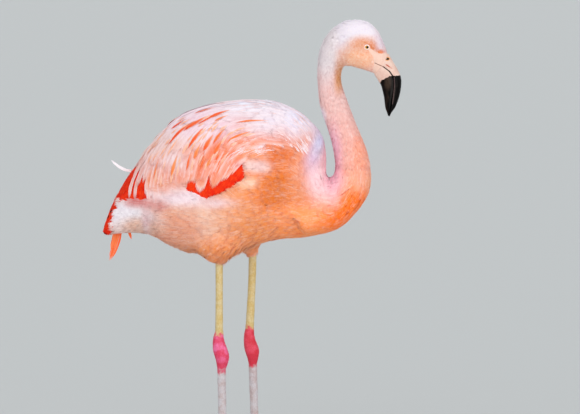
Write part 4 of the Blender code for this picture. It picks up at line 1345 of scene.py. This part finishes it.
def coat_wing(lie, looks, side):
    """The long plumes of a folded wing, the down under them and the streaks on them."""
    sign = SIDES[side]
    x, y, z = lie.middles.T
    in_plumes = edge_distance(PLUME_FIELD, x, z)
    field = (z < WING_TOP_Z) & (in_plumes > 0.0) & (y * sign > 0.0)
    on_map = lie.unwrap((z < WING_TOP_Z) & (in_plumes > -0.030) & (y * sign > -0.004))
    plumage = looks["plumage"]

    # plumes: the lowest row ends on the wing's edge, the others are spread over it
    edge = along(WING_EDGE, 30)
    low = lie.beside(edge + DRAW.normal(0.0, 0.0015, edge.shape), sign)
    places, normals = lie.settle(lie.scatter(field, 0.0036))
    places, normals = pick(depth_in(PLUME_FIELD, places) > 0.006, places, normals)
    forward = ramp(places[:, 0], -0.05, 0.06)
    headings = lie.run(places, normals, WING)
    keep = spaced(places, headings, 0.0084 - 0.0044 * forward, 0.044 - 0.026 * forward, low)
    hang = np.array(HANGING)
    tips = np.concatenate([low, places[keep], lie.beside(hang[:, :2], sign)])
    count = len(tips)
    forward = ramp(tips[:, 0], -0.06, 0.07)
    lower = ramp(tips[:, 2], 0.70, 0.61)
    length = (0.078 + 0.034 * lower - 0.040 * forward) * spread(count, 0.85, 1.15)
    width = (0.0090 + 0.0006 * lower - 0.0042 * forward) * spread(count, 0.85, 1.15)
    length[-len(hang):] = hang[:, 2]
    width[-len(hang):] = hang[:, 3]
    lines, normals = lie.draw(tips, length, 8, 0.02, WING, backwards=True)
    height = (0.0038 + 0.0002 * forward) * spread(count, 0.9, 1.1)
    height = height * (1.0 - 0.5 * ramp(np.abs(normals[:, -1, 1]), 0.65, 0.35))
    feathers("plumes_" + side, on_map, lines, normals, (9, 7), PLUME, (width, width * 0.38), (0.0016, height),
             plumage, "wing_plumage", rough=0.0001, tip_round=0.08,
             tilt=DRAW.choice((-1.0, 1.0), count) * 0.0002, tint_mix=0.88, rim=1.0, stray=0.12)

    # down under them
    lines, normals = lie.draw(lie.scatter(field, 0.0097), 0.030, 3, 0.1, WING)
    lines, normals = pick(depth_in(PLUME_FIELD, lines[:, -1]) > 0.002, lines, normals)
    feathers("down_under_plumes_" + side, on_map, lines, normals, (5, 3), TUFT, (0.0060, 0.0042),
             (0.0, 0.0018), plumage, "wing_plumage")

    # bright streaks on top of them, and softer ones between
    ends = np.array(STREAKS)
    if side == "left":
        ends[:, :2] += DRAW.normal(0.0, 0.004, (len(ends), 2))
    length, width, orange = ends[:, 2:].T
    streaky = {"rough": 0.0, "tip_round": 0.25, "root": 0.25, "rim": 1.0, "stray": 0.3}
    lines, normals = lie.draw(lie.beside(ends[:, :2], sign), length * 1.25, 7, 0.02, WING, backwards=True)
    feathers("bright_streaks_" + side, on_map, lines, normals, (7, 7), STREAK, (width * 1.15, width * 0.60),
             (0.0040, 0.0048), looks["streaks"], "crimson_plumes", tint=orange, tint_mix=0.9, **streaky)
    tips = lie.scatter(field & (in_plumes > 0.016) & (x < -0.02) & (z < 0.725), 0.0210)
    width = DRAW.uniform(0.0014, 0.0026, len(tips))
    length = DRAW.uniform(0.020, 0.036, len(tips))
    lines, normals = lie.draw(tips, length, 6, 0.03, WING, backwards=True)
    feathers("soft_streaks_" + side, on_map, lines, normals, (5, 6), STREAK, (width, width * 0.7),
             (0.0038, 0.0046), looks["peach"], "wing_plumage", **streaky)


def coat_rear(lie, looks, side):
    """What shows under a wing and behind it: crimson coverts, undertail, fringes and black tips."""
    sign = SIDES[side]
    x, y, z = lie.middles.T
    body = z < WING_TOP_Z
    this_side = body & (y * sign > -0.004)
    near_side = body & (y * sign > -0.002)
    plumage = looks["plumage"]

    # crimson coverts in the opening under the wing and at the rear
    in_slit, in_rear, in_tail = (edge_distance(field, x, z) for field in (SLIT_FIELD, REAR_FIELD, TAIL_FIELD))
    chosen = near_side & ((in_slit > -0.006) | (in_rear > -0.004))
    crimson_map = lie.unwrap(chosen)
    starts = lie.scatter(chosen, 0.0048)
    scale = spread(len(starts), 0.8, 1.2)
    lines, normals = lie.draw(starts, 0.020 * scale, 4, 0.15, WING)
    stay = (depth_in(SLIT_FIELD, lines[:, -1]) > -0.008) | (depth_in(REAR_FIELD, lines[:, -1]) > -0.003)
    lines, normals, scale = pick(stay, lines, normals, scale)
    feathers("crimson_coverts_" + side, crimson_map, lines, normals, (5, 4), PLUME,
             (0.0040 * scale, 0.0020 * scale), (0.0, 0.0026 * scale), looks["crimson"], "crimson_plumes")

    # white undertail
    chosen = near_side & (in_tail > 0.0)
    on_map = lie.unwrap(chosen)
    starts = lie.scatter(chosen, 0.0042)
    scale = spread(len(starts), 0.8, 1.2)
    lines, normals = lie.draw(starts, 0.021 * scale, 3, 0.25)
    stay = depth_in(TAIL_FIELD, lines[:, -1]) > -DRAW.uniform(0.0, 0.003, len(starts))
    lines, normals, scale = pick(stay, lines, normals, scale)
    feathers("undertail_" + side, on_map, lines, normals, (4, 4), UNDERTAIL, (0.0034 * scale, 0.0022 * scale),
             (0.0003, 0.0040 * scale * spread(len(lines), 0.8, 1.1)), plumage, "white_plumes",
             tint=DRAW.uniform(0.3, 0.9, len(lines)))

    # pale tips of the flank feathers over the crimson, and of the undertail over the rear
    slit_edge = along(SLIT_EDGE, 70) + np.array([0.002, -0.0030])
    flank = np.concatenate([along(FLANK_LINE, 34), slit_edge, along(TAIL_EDGE, 34)] * 3)
    tips = lie.beside(flank + DRAW.normal(0.0, 0.0024, flank.shape), sign)
    scale = spread(len(tips))
    upwards = ramp(tips[:, 2], 0.640, 0.610) * ramp(tips[:, 0], -0.130, -0.110) * 0.65
    lines, normals = lie.draw(tips, 0.026 * scale, 4, 0.20, backwards=True, turn=upwards * sign)
    lines, normals, scale = pick(clear_of_slit(lines, -0.0015), lines, normals, scale)
    on_line = near_line(TAIL_EDGE + FLANK_LINE + SLIT_EDGE, x, z)
    on_map = lie.unwrap(this_side & (on_line < 0.045))
    feathers("flank_fringe_" + side, on_map, lines, normals, (5, 4), FRINGE,
             (0.0030 * scale, 0.0015 * scale), (0.0004, 0.0050 * spread(len(lines), 0.75, 1.1)),
             plumage, "plumage", tip_round=0.25, tint=DRAW.uniform(0.6, 1.0, len(lines)), rim=0.6)

    # the flank's rounded rear edge over the undertail
    hip = np.concatenate([along(HIP_LINE, 30)] * 3)
    tips = lie.beside(hip + DRAW.normal(0.0, 0.0030, hip.shape), sign)
    scale = spread(len(tips))
    lines, normals = lie.draw(tips, 0.030 * scale, 4, 0.15, backwards=True)
    on_map = lie.unwrap(this_side & (near_line(HIP_LINE, x, z) < 0.050))
    feathers("hip_fringe_" + side, on_map, lines, normals, (6, 4), TUFT,
             (0.0040 * scale, 0.0021 * np.sqrt(scale)), (0.0014, 0.0062 * scale), plumage, "plumage",
             tip_round=0.3, tint=DRAW.uniform(0.4, 0.9, len(tips)), rim=0.6)

    # black tips of the longest feathers between the crimson and the undertail
    tips = lie.beside(((-0.2740, 0.5380), (-0.2790, 0.5270)), sign)
    lines, normals = lie.draw(tips, 0.010, 4, 0.0, WING, backwards=True)
    feathers("black_primaries_" + side, crimson_map, lines, normals, (5, 4), PLUME, (0.0016, 0.0010),
             (0.0024, 0.0036), looks["black"], "wing_plumage")
    return crimson_map


def make_loose_plumes(looks, on_map):
    """A white plume that curls up off the back, and crimson ones that hang under the tail."""
    share = np.linspace(0.0, 1.0, PLUME_STATIONS)
    sideways = np.tile([0.0, -1.0, 0.0], (PLUME_STATIONS, 1))
    low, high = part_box("plume_curled")
    middle = np.full(PLUME_STATIONS, (low[1] + high[1]) / 2.0)
    curl = low[2] + 0.0022 + (high[2] - low[2] - 0.0030) * share**1.9
    line = np.stack([high[0] - (high[0] - low[0]) * share, middle, curl], axis=1)
    piece = feathers("curled_white_plume", on_map, line[None], sideways[None], (5, 9), CURLED,
                     (0.0021, 0.0017), (0.0, 0.0), looks["white"], "white_plumes", tip_round=0.05)
    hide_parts("plume_curled")

    low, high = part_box("plume_hanging")
    middle = np.full(PLUME_STATIONS, (low[1] + high[1]) / 2.0)
    lines = []
    for start_x, start_z, end_x, end_z, bow in (
        (high[0] - 0.003, high[2] + 0.002, low[0], low[2] - 0.004, 0.003),
        (high[0] - 0.009, high[2] + 0.004, low[0] + 0.004, low[2] + 0.018, 0.002),
        (high[0] + 0.012, high[2] + 0.006, high[0] + 0.020, high[2] - 0.019, 0.001),
    ):
        across = start_x + (end_x - start_x) * share + bow * np.sin(share * math.pi)
        lines.append(np.stack([across, middle, start_z + (end_z - start_z) * share], axis=1))
    piece = feathers("hanging_crimson_plumes", on_map, np.stack(lines), np.stack([sideways] * 3),
                     (7, 8), HANGS, ((0.0060, 0.0046, 0.0024), (0.0020, 0.0018, 0.0012)),
                     (0.0, (0.0, 0.0006, -0.0006)), looks["hanging"], "crimson_plumes",
                     tint=np.array([0.2, 0.8, 0.1]))
    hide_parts("plume_hanging")


def make_coats(under):
    """Every feather on the bird, from the down of its face to the plumes of its wings."""
    lie = Lie(under)
    looks = {"plumage": plumage_look()}
    for key, name, *paints in (
        ("crimson", "crimson_plumes", (228, 12, 4), (252, 72, 18)),
        ("hanging", "hanging_plumes", (250, 84, 32), (255, 150, 96)),
        ("streaks", "bright_streaks", (238, 54, 8), (248, 148, 84), (248, 180, 150)),
        ("peach", "peach_streaks", (246, 166, 128), (248, 196, 172), (248, 214, 204)),
        ("wisps", "pale_wisps", (248, 208, 202), (244, 236, 246)),
        ("white", "white_plume", (246, 240, 246), (255, 252, 255)),
        ("black", "black_primaries", (24, 18, 20), (44, 34, 34)),
    ):
        looks[key] = plain_plume_look(name, *paints)
    coat_head(lie, looks["plumage"])
    coat_neck(lie, looks["plumage"])
    coat_body(lie, looks)
    for side in SIDES:
        coat_wing(lie, looks, side)
        rear_map = coat_rear(lie, looks, side)
    make_loose_plumes(looks, rear_map)


# ---------------------------------------------------------------- the bird
under = make_skin()
make_bill("bill_upper", True)
make_bill("bill_lower", False)
eye_finish = eye_look()
for side in SIDES:
    make_eye(side, eye_finish)
dress_claws()
make_coats(under)
bpy.data.objects.remove(under)
make_room()
